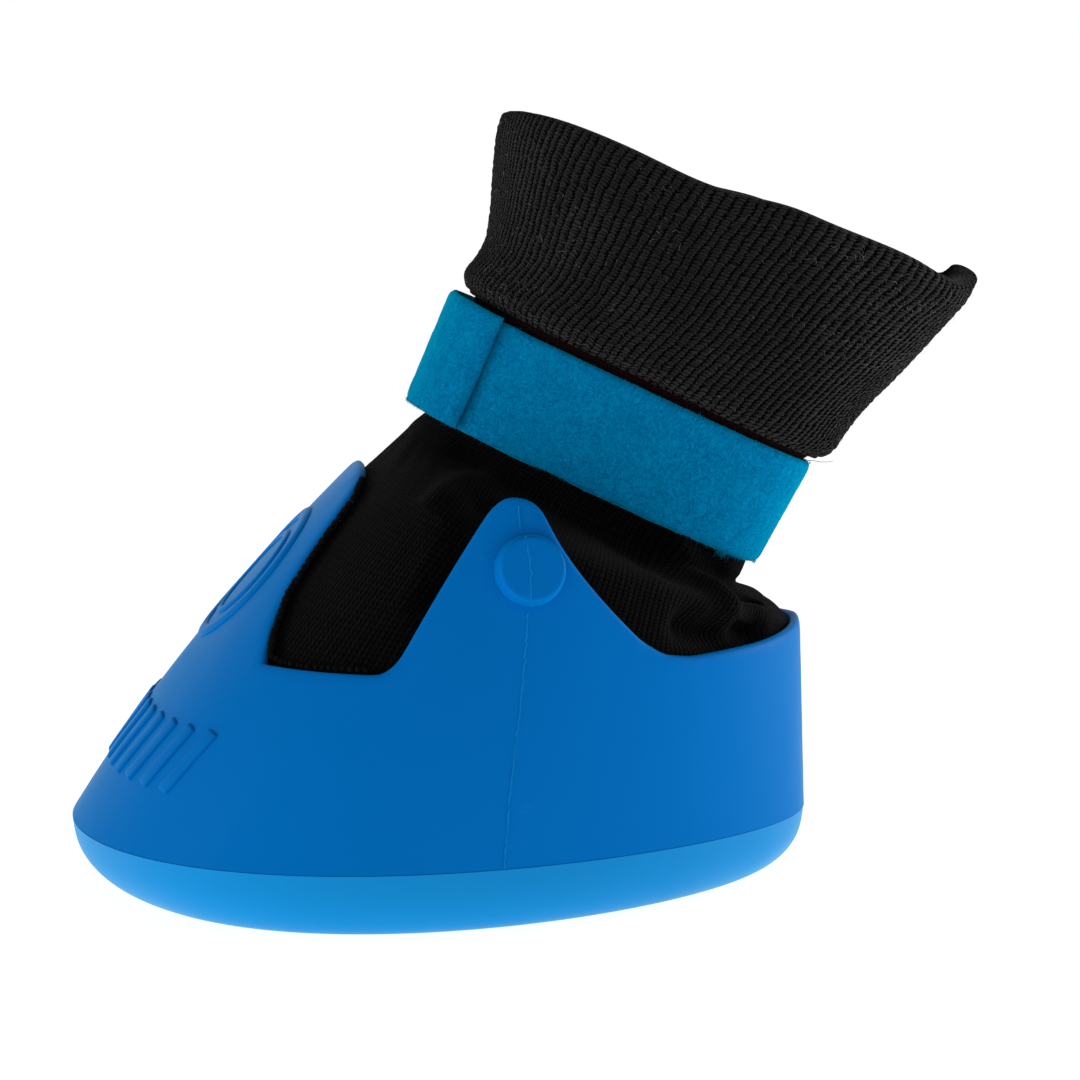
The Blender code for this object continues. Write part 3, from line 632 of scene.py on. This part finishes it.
wrinkle = np.sin(angles * 23 + 2 * np.sin(angles * 5)) * 0.00014 + np.sin(angles * 41 + 1.0) * 0.00008
swell = np.sin(np.linspace(0, math.pi, leg_start - shoulder_start))
level[shoulder_start:leg_start] += wrinkle * swell[:, None]
grid = grid + grid_normals(grid) * level[..., None]
# The knit's map: one stitch is 1.1 mm along, and the wales lean together where the sock is gathered.
climb = np.linalg.norm(np.diff(grid, axis=0), axis=2).mean(1)
courses = np.concatenate([[0.0], np.cumsum(climb)]) / 0.0011
rear = np.sin(angles / 2)**2
gather = smooth(height, shoulder_start - 6.0, leg_start - 4.0)[:, None]
gather = gather * -9.0 * smooth(rear, 0.60, 0.86) * np.sign(np.sin(angles)) * (1 - smooth(rear, 0.90, 0.995))
gather = np.concatenate([gather, gather[:, :1]], 1)
sock = skin_mesh("knit_sock", grid, False, True,
                 lambda row, column: (column * 0.92 + gather[row, column], courses[row]))
close_skin(sock, range(sock_columns))
pick([sock])
cloth = sock.modifiers.new("cloth", "SOLIDIFY")
cloth.thickness = 0.0019
cloth.offset = -1.0
bpy.ops.object.modifier_apply(modifier="cloth")


def knit(name, painted_hollow_shade, light, relief, wiggle, rib, bloom, groove, between, uneven, warm=(1e6, 1e6), rear=1.0):
    """Rib knit on the threads map, where one unit is one wale across and one stitch along.

    Its first colour is painted shade and light is its yarn: the colour runs from the one to the other
    with the stitches' height, so the hollows between wales and between stitches and every sunken wale
    are painted dark. Relief is its stitches' depth and bloom its loose fibres' glow. Wiggle bends the
    wales' edges round the stitches, rib sinks every second wale, groove and between shape the hollows
    between wales and between stitches, and uneven makes the stitches' spacing wander. Warm is the rows
    over which it is rubbed reddish, and rear how much paler it is painted at the heel side, a painted
    highlight for the light that falls there."""
    material, tree, coords = new_material(name)
    place = coords["Object"]
    wale, stitch = add_node(tree, "SeparateXYZ", {0: coords["UV"]})[:2]
    yarn = noise(tree, place, 1500.0, 3.0)
    slack = noise(tree, place, 480.0)
    slant = calc(tree, "ABSOLUTE", calc(tree, "SUBTRACT", calc(tree, "FRACT", wale), 0.5))
    loop = calc(tree, "MULTIPLY_ADD", slant, 0.8, calc(tree, "MULTIPLY_ADD", slack, uneven, stitch))
    beat = calc(tree, "SINE", calc(tree, "MULTIPLY", loop, math.tau))
    ragged = calc(tree, "MULTIPLY_ADD", yarn, 0.45, slant)
    edge = calc(tree, "MULTIPLY_ADD", beat, -wiggle, ragged)
    across = ranged(tree, edge, groove, (0.0, 1.0), interpolation_type="SMOOTHSTEP")
    lump = ranged(tree, beat, (-1.0, 0.6), (between, 1.0))
    pair = calc(tree, "SINE", calc(tree, "MULTIPLY", wale, math.pi))
    step = ranged(tree, pair, (-0.5, 0.5), (1.0 - rib, 1.0))
    height = calc(tree, "MULTIPLY", calc(tree, "MULTIPLY", across, lump), step)
    hairy = calc(tree, "MULTIPLY_ADD", yarn, 0.5, height)
    faded = ranged(tree, noise(tree, place, 75.0, 3.0), (0.35, 0.65), (0.62, 1.0))
    worn = calc(tree, "MULTIPLY", faded, ranged(tree, slack, (0.35, 0.65), (0.70, 1.0)))
    # Painted highlight: by rear, the colour grows paler towards the heel side, for the light that falls
    # there.
    to_rear = add_node(tree, "SeparateXYZ", {0: place})[1]
    pale = calc(tree, "MULTIPLY", worn, ranged(tree, to_rear, (0.065, 0.105), (1.0, rear)))
    # Painted shade: the hollows between wales and between stitches and the sunken wales take the darker first
    # colour.
    tone = mixed(tree, calc(tree, "MULTIPLY", height, pale), painted_hollow_shade, light, clamp_factor=False)
    speckle = calc(tree, "MULTIPLY", yarn, ranged(tree, stitch, (warm[1] + 2.0, warm[1] + 6.0), (2.0, 0.0)))
    stain = calc(tree, "MULTIPLY", ranged(tree, stitch, warm, (0.0, 0.45)), speckle)
    return finish_material(material, {
        "Base Color": mixed(tree, stain, tone, (0.016, 0.0030, 0.0042, 1.0)),
        "Normal": bumped(tree, hairy, 1.0, relief), "Roughness": 0.95, "Specular IOR Level": 0.02,
        "Sheen Weight": bloom, "Sheen Roughness": 0.45})


rubbed_rows = (courses[leg_start + 15], courses[leg_start + 18])
# The sock's first colour is painted shade in its knit's hollows.
sock.data.materials.append(
    knit("sock_rib_knit", (0.0004, 0.0004, 0.0004, 1), (0.0060, 0.0058, 0.0062, 1), relief=0.0004,
         wiggle=0.04, rib=0.30, bloom=0.012, groove=(0.66, 0.46), between=0.45, uneven=0.3,
         warm=rubbed_rows))
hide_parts("sock_foot", "sock_ankle", "sock_leg")
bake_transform(sock)

# Edge stitches. The row of yarn loops where the sock's knit is caught over the shell's edge, along the
# back of the shield and round the side window's lower corner.
rim_turns = (0.163, 0.301, 0.334, 0.375, 0.418, 0.442, 0.497, 0.547, 0.614, 0.696, 0.803, 0.944, 1.062)
rim_heights = (0.0916, 0.0872, 0.0832, 0.0776, 0.0716, 0.0675, 0.0638, 0.0596, 0.0556, 0.0548, 0.0546,
               0.0548, 0.0548)
rim_reach = distance_along(outer_wall(np.array(rim_turns), np.array(rim_heights)))
window_corner = rim_reach[8]
loop_gap = 0.00175


def rim_place(along):
    """Angle and height of the shell's edge at a distance along it."""
    return np.interp(along, rim_reach, rim_turns), np.interp(along, rim_reach, rim_heights)


random.seed(9)
loops = []
for along in np.arange(0.0046, rim_reach[-1], loop_gap):
    along = along + random.gauss(0.0, 0.00016)
    turn, up = rim_place(along)
    place, out = outer_wall(turn, up), wall_normal(turn, up)
    way = unit(outer_wall(*rim_place(along + 0.001)) - place)
    size = (0.00100 if along < window_corner else 0.00060) * random.uniform(0.75, 1.15)
    inward = np.cross(out, way) * 0.0007
    for mirror in (1, -1):
        flip = Vector((mirror, 1.0, 1.0))
        bpy.ops.object.select_all(action="DESELECT")
        bpy.ops.mesh.primitive_ico_sphere_add(
            subdivisions=2, radius=1.0, location=Vector(place + inward - out * 0.0011) * flip,
            scale=(size, size, 0.0008))
        loop = bpy.context.active_object
        sides = [Vector(v) * flip for v in (way, np.cross(out, way), out)]
        loop.rotation_euler = Matrix(sides).transposed().to_euler()
        loops.append(loop)
edging = joined(loops, "shield_edge_stitches")
bpy.ops.object.transform_apply(location=True, rotation=True, scale=True)
bpy.ops.object.shade_smooth()
yarn, tree, coords = new_material("edge_yarn")
strand = noise(tree, coords["Object"], 1400.0, 3.0)
finish_material(yarn, {"Base Color": ranged(tree, strand, (0.0, 1.0), (0.001, 0.008)),
                       "Normal": bumped(tree, strand, 0.8, 0.0003),
                       "Roughness": 0.95, "Specular IOR Level": 0.02})
edging.data.materials.append(yarn)
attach(edging, "boot")

# Cuff. The top of the sock turned down over the outside: two thicknesses of a heavy knit whose wales
# run up the leg as columns of lumpy stitches, rolled at the hem and at the mouth.
wales = 152
per_wale = 5
stitches = 56
cuff_columns = wales * per_wale
column = np.arange(cuff_columns)
inside = column % per_wale / per_wale
number = column // per_wale
generator = np.random.default_rng(12)
phases = generator.uniform(0, math.tau, (wales, 4))
rates = generator.uniform(0.6, 1.5, (wales, 3)) * (math.tau * 1.6, math.tau * 4.2, math.tau * 9.0)
# The mouth's line near the heel, where the tube was pressed flat: how far it stands above its even
# height, by the angle from the heel.
heel_turns = (0.0, 0.11, 0.22, 0.33, 0.47, 0.58, 0.68, 0.77, 0.86, 0.96, 1.1, 3.2)
heel_lifts = (0.0015, 0.0012, -0.0005, -0.0013, -0.0018, -0.0024, -0.0019, -0.0011, -0.0005, -0.0002,
              0.0, 0.0)


def wander(which, share):
    """How far a wale has strayed to one side, in wales, at a share of the cuff's height."""
    which = which % wales
    return np.sin(share[:, None] * rates[which] + phases[which, :3]) @ (0.07, 0.07, 0.05)


def cuff_row(share, out, extra=0.0, relief=1.0):
    """One row of knit round the cuff at a share of its height, with its wales standing proud."""
    share = np.broadcast_to(share, column.shape)
    drift = (1 - inside) * wander(number, share) + inside * wander(number + 1, share)
    jag = generator.normal(size=cuff_columns) * 0.15 * (inside == 0)
    angle = (column / per_wale + drift + jag) * (math.tau / wales) + 0.16 * share
    turn = from_front(angle)
    turn = np.sign(turn) * (math.pi - np.abs(turn))
    # The wales crowd together where the mouth is pressed flat at the heel.
    angle = angle + turn * 0.42 * np.exp(-(turn / 0.55)**2) * smooth(share, 0.30, 1.0)
    from_heel = math.pi - np.abs(from_front(angle))
    ridge = 1 - np.abs(2 * inside - 1)**2.6
    lump = np.sin(share * 150 + phases[number, 0] * 3) + np.sin(share * 97 + phases[number, 3])
    roll = 0.0004 * np.sin(3 * angle + 4.0 * share + 1.0) + 0.0003 * np.sin(7 * angle - 5.0 * share)
    lift = through(from_heel, heel_turns, heel_lifts) * smooth(share, 0.72, 1.0)
    hem = 0.0026 * (1 - np.sqrt(1 - np.clip(1 - share / 0.1, 0, 1)**2))
    taut = 1 - 0.45 * np.exp(-((math.pi - from_heel) / 0.8)**2)
    depth = out + relief * taut * (0.00066 * ridge * (0.72 + 0.14 * lump) - 0.00054) + roll - hem
    place = round_leg(angle, cuff_up(angle, share) + extra + lift, cuff_size(share), depth)
    place[:, 0] *= 1 - 0.62 * np.exp(-(from_heel / 0.42)**2) * smooth(share, 0.55, 1.0)
    return place


# Its rows go down the inner face, round the hem, up the outer face, over the mouth's roll, down
# inside the mouth and back up to where they began.
cloth_depth = 0.0036
rows, courses = [], []
for share in np.linspace(0.97, 0.06, 7):
    rows.append(cuff_row(share, -cloth_depth, relief=0.0))
    courses.append(-share * stitches * 0.5)
for turn in np.linspace(0.0, 1.0, 7)[1:-1]:
    bend = math.pi * turn
    rows.append(cuff_row(0.0, -0.0005 - 0.0005 * math.cos(bend), -0.0006 * math.sin(bend),
                         smooth(turn, 0.3, 0.8)))
    courses.append((turn - 1) * 1.2)
for share in np.concatenate([np.linspace(0.0, 0.12, 20)[:-1], np.linspace(0.12, 1.0, 78)]):
    rows.append(cuff_row(share, 0.0))
    courses.append(share * stitches)
for turn in np.linspace(0.0, 1.0, 12)[1:]:
    bend = math.pi * turn
    rows.append(cuff_row(1.0, -0.0031 + 0.0031 * math.cos(bend), 0.0013 * math.sin(bend), 1 - 0.5 * turn))
    courses.append(stitches + turn * 7.0)
for extra in (-0.0014, -0.0030, -0.0048):
    rows.append(cuff_row(1.0, -0.0062, extra, 0.5))
    courses.append(stitches + 8.0 - extra * 1200)
for out, extra, step in ((-0.0059, -0.0052, 0.5), (-0.00585, -0.0040, 1.0), (-0.00585, -0.0020, 1.0),
                         (-0.00585, -0.0006, 1.0), (-0.0048, 0.0001, 1.0), (-cloth_depth, -0.0004, 1.0)):
    rows.append(cuff_row(1.0, out, extra, 0.0))
    courses.append(courses[-1] + step)
courses = np.array(courses + [courses[-1] + 1.0])
cuff = skin_mesh("turned_cuff", np.stack(rows), True, True,
                 lambda row, col: (col / per_wale, courses[row] + 0.5 * (col // per_wale % 2)))
close_skin(cuff)
# The cuff's first colour is painted shade in its hollows, and rear paints its heel side paler as a painted
# highlight.
cuff.data.materials.append(
    knit("cuff_heavy_knit", (0.0003, 0.0003, 0.0003, 1), (0.0225, 0.0216, 0.0216, 1), relief=0.0005,
         wiggle=0.12, rib=0.0, bloom=0.07, groove=(0.64, 0.36), between=0.38, uneven=2.0, rear=1.75))
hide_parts("cuff")
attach(cuff, "leg")


# Strap. A band of loop-faced webbing, brushed till its pile stands as felt, wrapped once round the
# sock, with its end turned over its own start on the near side. It is sewn to the sock at the heel.
strap_middle = 0.017
strap_half = 0.0126
backing, pile_top = 0.0003, 0.0023
layer_rise = 0.0036


def layer_lift(angle):
    """How far the strap's inner face stands off the sock: flat, then up over its own start."""
    rise = layer_rise * smooth(angle, math.radians(-58), math.radians(-32))
    return rise - 0.0008 * smooth(angle, math.radians(8), math.radians(40))


def pile_noise(points, size, seed):
    """Smooth lumps of a size, from sums of waves in scattered directions."""
    waves = np.random.default_rng(seed)
    total = np.zeros(points.shape[:-1])
    for _ in range(14):
        way = unit(waves.normal(size=3)) * math.tau / (size * waves.uniform(0.7, 1.6))
        total += np.sin(points @ way + waves.uniform(0, math.tau))
    return total / 5.3


def webbing(name, start, end, lift, cut_end=False):
    """A stretch of the strap between two angles, closed at both ends, with rounded selvedges."""
    turns = np.linspace(start, end, 400)
    distance = distance_along(round_leg(turns, strap_middle, waist(strap_middle), 0.0013))
    count = int(distance[-1] / 0.00042) + 1
    along = np.interp(np.linspace(0, distance[-1], count), distance, turns)
    pressed = np.zeros(count)
    if cut_end:
        pressed = 0.0011 * (1 - smooth(distance[-1] * (1 - np.arange(count) / (count - 1)), 0.0, 0.0013))
    widths = np.linspace(-1, 1, 56)
    edge = np.sign(widths) * np.abs(widths)**0.9
    section = [(w * strap_half, pile_top - 0.0009 * abs(w)**22, 1.0) for w in edge]
    section += [(w * 0.0124, backing + 0.0005 * abs(w)**14, 0.0) for w in np.linspace(1, -1, 12)]
    ring = []
    for w, out, pile in section:
        up = strap_middle + w + 0.0012 * max(w, 0.0) / strap_half * lift(along) / layer_rise
        place = round_leg(along, up, waist(up), out + lift(along) - pile * pressed)
        normal = unit(round_leg(along, up, waist(up), out + lift(along) + 0.002) - place)
        fuzz = 0.00005 * pile_noise(place, 0.0016, 5) + 0.00005 * pile_noise(place, 0.0042, 6)
        sway = 0.00009 * pile_noise(place, 0.009, 8) * smooth(abs(w), 0.0100, 0.0124) * math.copysign(1, w)
        ring.append(place + normal * (pile * fuzz)[:, None] + (axis * sway[:, None]))
    piece = skin_mesh(name, np.stack(ring), True, False, lambda row, col: (col * 0.25, row * 0.25))
    total = len(ring) * count
    close_skin(piece, range(0, total, count), range(total - 1, 0, -count))
    return piece


def brushed_pile(name, deep, bright):
    """Brushed loops: fine curled fibres, a little uneven in depth, that glow where seen along the pile."""
    material, tree, coords = new_material(name)
    blotch = noise(tree, coords["Object"], 260.0, 3.0, Roughness=0.5)
    fibre = noise(tree, coords["Object"], 900.0, 5.0, Roughness=0.7, Distortion=2.2)
    tone = add_node(tree, "ValToRGB", {0: calc(tree, "MULTIPLY_ADD", blotch, 0.12, fibre)})[0]
    for stop, place, colour in zip(tone.node.color_ramp.elements, (0.46, 0.67), (deep, bright)):
        stop.position = place
        stop.color = colour
    return finish_material(material, {
        "Base Color": tone, "Normal": bumped(tree, fibre, 0.6, 0.0003),
        "Roughness": 0.95, "Specular IOR Level": 0.0,
        "Sheen Weight": 0.80, "Sheen Roughness": 0.35, "Sheen Tint": (0.0, 0.62, 0.78, 1.0)})


loop_pile = brushed_pile("loop_pile", (0.0003, 0.104, 0.258, 1.0), (0.0008, 0.205, 0.420, 1.0))
joint_angle = math.radians(-75)
front_angle = math.radians(-45)
tab_end = math.radians(39.5)
band = webbing("strap_band_pile", math.radians(-26), math.tau + joint_angle, lambda angle: 0 * angle)
root = webbing("strap_root_pile", joint_angle, front_angle, layer_lift)
front = webbing("strap_front_pile", front_angle, tab_end, layer_lift, cut_end=True)
for piece, nodes, length in ((band, ["strap_band"], 0.193), (root, ["strap_arm"], 0.022),
                             (front, ["strap_tab"], 0.052)):
    piece.data.materials.append(loop_pile)
    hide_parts(*nodes)
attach(band, "leg")
after, before = [round_leg(math.radians(turn), strap_middle, waist(strap_middle), pile_top)
                 for turn in (-56, -60)]
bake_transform(root)
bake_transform(front)


# Pile fringe. Loose fibres of the strap's pile: a short nap along its selvedges, longer at the lower
# one, and a tuft where the selvedge is worn at the heel and at the front.
def hair_mesh(name, hairs, thickness, sides=3):
    """Many thin tapered hairs in one mesh. Each hair is a short row of points."""
    points, faces = [], []
    for line in hairs:
        line = np.asarray(line)
        first = len(points)
        for i, place in enumerate(line):
            ahead = unit(line[min(i + 1, len(line) - 1)] - line[max(i - 1, 0)] + 1e-9)
            side = unit(np.cross(ahead, (0.31, 0.52, 0.79)))
            other = np.cross(ahead, side)
            width = thickness * (1.0 - 0.45 * i / (len(line) - 1))
            for k in range(sides):
                turn = math.tau * k / sides
                points.append(place + (side * math.cos(turn) + other * math.sin(turn)) * width)
        for i in range(len(line) - 1):
            for k in range(sides):
                a, b = first + i * sides + k, first + i * sides + (k + 1) % sides
                faces.append((a, b, b + sides, a + sides))
        faces.append(tuple(range(first + sides - 1, first - 1, -1)))
        last = first + (len(line) - 1) * sides
        faces.append(tuple(range(last, last + sides)))
    mesh = bpy.data.meshes.new(name)
    mesh.from_pydata([tuple(p) for p in points], [], faces)
    return new_object(name, mesh)


def on_strap(angle, across, out):
    up = strap_middle + across
    return round_leg(angle, up, waist(up), out)


def fringe(name, start, end, lift, count, seed, tufts):
    """Fibres that leave the pile at its edges, curl and end within about a millimetre."""
    chance = np.random.default_rng(seed)
    places = []
    for _ in range(count):
        share = chance.uniform()
        if share < 0.56:
            across = -chance.uniform(0.0120, strap_half)
        elif share < 0.78:
            across = chance.uniform(0.0121, strap_half)
        else:
            across = chance.uniform(-0.0125, 0.0125)
        reach = 0.0002 + 0.0004 * chance.uniform()**2
        places.append((chance.uniform(start, end), across, reach))
    for angle, across, spread, reach, fibres in tufts:
        for _ in range(fibres):
            places.append((angle + chance.normal() * spread, across * chance.uniform(0.97, 1.0),
                           reach * chance.uniform(0.4, 1)))
    hairs = []
    for angle, across, reach in places:
        base = on_strap(angle, across, 0.0019 + lift(angle))
        out = unit(on_strap(angle, across, 0.0032) - on_strap(angle, across, 0.0022))
        way = unit(out * chance.uniform(0.0, 0.5) + axis * (across / strap_half) * chance.uniform(0.4, 1.3)
                   + chance.normal(size=3) * 0.35)
        bend = unit(chance.normal(size=3)) * chance.uniform(0.2, 0.9)
        hairs.append([base + way * reach * t + bend * reach * t * t * 0.6 for t in (-0.3, 0.2, 0.6, 1.0)])
    piece = hair_mesh(name, hairs, 0.000024)
    piece.data.materials.append(fringe_pile_painted_lighter)
    return piece


# Painted light: the loose fibres take the strap's pile in lighter colours, for the light they catch along its
# edges.
fringe_pile_painted_lighter = brushed_pile("fringe_pile_painted_lighter", (0.0006, 0.170, 0.350, 1.0), (0.004, 0.300, 0.500, 1.0))
# Tufts: angle, place across the strap, spread, reach and number of fibres.
heel_tufts = ((2.36, -0.0126, 0.03, 0.0018, 50), (2.52, -0.0126, 0.06, 0.0009, 60))
front_tufts = ((0.35, 0.0122, 0.06, 0.0016, 70),)
band_fringe = fringe("band_fringe", math.radians(-24), math.tau + joint_angle, lambda angle: 0 * angle,
                     count=2200, seed=21, tufts=heel_tufts)
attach(band_fringe, "leg")
front_fringe = fringe("front_fringe", front_angle, math.radians(39.0), layer_lift,
                      count=1000, seed=22, tufts=front_tufts)
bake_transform(front_fringe)

# Hook patch. A strip of hook tape welded to the strap's end on its inner face: a thin plastic ground
# with rows of small hooks that catch the pile.
hook_margin = 0.0022
hook_length = 0.0215
tape_half = 0.0104
tab_radius = 0.0265
hook_end = tab_end - hook_margin / tab_radius
hook_start = max(tab_end - (hook_margin + hook_length) / tab_radius, math.radians(1.4))
tape_columns = 40


def under_tab(angle, across, out):
    return on_strap(angle, across, out + layer_lift(angle) - layer_rise)


along = np.linspace(hook_start, hook_end, tape_columns)
rows = [under_tab(along, across, out) for across, out in
        ((-tape_half, 0.00325), (-tape_half, 0.00358), (tape_half, 0.00358), (tape_half, 0.00325))]
ground = skin_mesh("hook_ground", np.stack(rows), True, False, lambda row, col: (col * 1.0, row * 1.0))
total = len(rows) * tape_columns
close_skin(ground, range(0, total, tape_columns), range(total - 1, 0, -tape_columns))
# Each hook stands up from the ground, bends over and turns back: its points by angle and depth.
hook_shape = ((0.0, 0.0033), (0.0, 0.0029), (0.004, 0.00268), (0.013, 0.00262), (0.019, 0.00282))
hooks = []
for angle in np.linspace(hook_start + 0.03, hook_end - 0.03, 17):
    for across in np.linspace(-0.0098, 0.0098, 16):
        hooks.append([under_tab(angle + sway, across, out) for sway, out in hook_shape])
hook_rows = hair_mesh("hook_rows", hooks, 0.00011, sides=4)
ground = joined([ground, hook_rows], "hook_tape")
tape, tree, coords = new_material("hook_tape_plastic")
haze = noise(tree, coords["Object"], 240.0, 3.0)
finish_material(tape, {"Base Color": mixed(tree, haze, (0.002, 0.085, 0.20, 1.0), (0.004, 0.13, 0.27, 1.0)),
                       "Roughness": 0.5})
ground.data.materials.append(tape)
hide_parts("hook_patch")
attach(ground, "tab")

# Bar tack. A close row of polyester thread stitches at the heel that holds the strap to the sock,
# sewn by machine, with a run of the same thread down both of its sides.
heel_radius = 0.0384
stitch_count, stitch_gap, stitch_length = 26, 0.00068, 0.0040
stitch_lines = []
for i in range(stitch_count):
    shift = (i - (stitch_count - 1) / 2) * stitch_gap
    lean = 0.00022 * (-1)**i
    line = []
    for t in np.linspace(0, 1, 7):
        angle = math.pi + (t - 0.5) * stitch_length / heel_radius
        arch = 0.0023 + 0.00042 * math.sin(math.pi * t)
        line.append(on_strap(angle, shift + lean * (t - 0.5) * 2, arch))
    stitch_lines.append(line)
for way in (-1, 1):
    stitch_lines.append([on_strap(math.pi + way * 0.00165 / heel_radius, s, 0.00258 + 0.00004 * (-1)**k)
                         for k, s in enumerate(np.linspace(-0.0088, 0.0088, 30))])
tack = hair_mesh("heel_bar_tack", stitch_lines, 0.00028, sides=6)
tack.data.shade_smooth()
thread, tree, coords = new_material("stitch_thread")
ply = add_node(tree, "TexWave", {"Vector": coords["Object"], "Scale": 620.0, "Distortion": 2.0},
               bands_direction="DIAGONAL")[0]
finish_material(thread, {"Base Color": mixed(tree, ply, (0.002, 0.075, 0.17, 1.0), (0.004, 0.14, 0.28, 1.0)),
                         "Normal": bumped(tree, ply, 0.5, 0.0001), "Roughness": 0.6})
tack.data.materials.append(thread)
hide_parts("strap_tack")
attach(tack, "leg")

# Lint. Pale curled fibres that the cuff's knit has picked up, thickest at the heel side of its mouth,
# and one loose dark thread that sticks out under the hem at the heel.
hairs = []
chance = np.random.default_rng(41)
# Each patch: the angle of its middle, its spread, its lowest and highest share of the cuff's height
# and its number of fibres.
patches = ((2.35, 0.26, 0.45, 0.95, 220), (1.15, 0.30, 0.35, 0.95, 90), (0.5, 0.2, 0.02, 0.2, 60),
           (1.3, 1.3, 0.03, 0.97, 170), (-1.6, 1.2, 0.05, 0.95, 240))
for centre, spread, low, high, count in patches:
    for _ in range(count):
        angle = centre + chance.normal() * spread
        share = chance.uniform(low, high)
        base = round_leg(angle, cuff_up(angle, share), cuff_size(share), 0.00010)
        out = unit(base - round_leg(angle, cuff_up(angle, share), cuff_size(share), -0.001))
        way = unit(np.cross(out, chance.normal(size=3)))
        other = np.cross(out, way)
        reach = 0.0004 + 0.0014 * chance.uniform()**2
        curl = chance.uniform(0.3, 3.0)
        kink = chance.normal(size=2) * 0.25
        line = []
        for t in np.linspace(0, 1, 7):
            line.append(base + way * reach * (math.sin(curl * t) / curl + kink[0] * t * t)
                        + other * reach * ((1 - math.cos(curl * t)) / curl + kink[1] * t**3)
                        + out * reach * 0.18 * math.sin(math.pi * t))
        hairs.append(line)
lint = hair_mesh("cuff_lint", hairs, 0.000026)
fluff, tree, coords = new_material("pale_fibre")
shade = noise(tree, coords["Object"], 160.0)
finish_material(fluff, {"Base Color": ranged(tree, shade, (0.3, 0.7), (0.03, 0.26)), "Roughness": 0.8})
lint.data.materials.append(fluff)
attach(lint, "leg")
end = on_strap(2.98, 0.0128, 0.0012)
runs = ((-0.6, -1.4, 0.5), (0.0, 0.0, 0.0), (-0.4, 1.5, -0.15), (-0.7, 3.0, -0.45), (-0.9, 4.6, -0.5),
        (-1.0, 6.0, -0.3))
loose = hair_mesh("loose_thread", [[end + np.array(run) * 0.001 for run in runs]], 0.00008, sides=6)
loose.data.materials.append(yarn)
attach(loose, "leg")
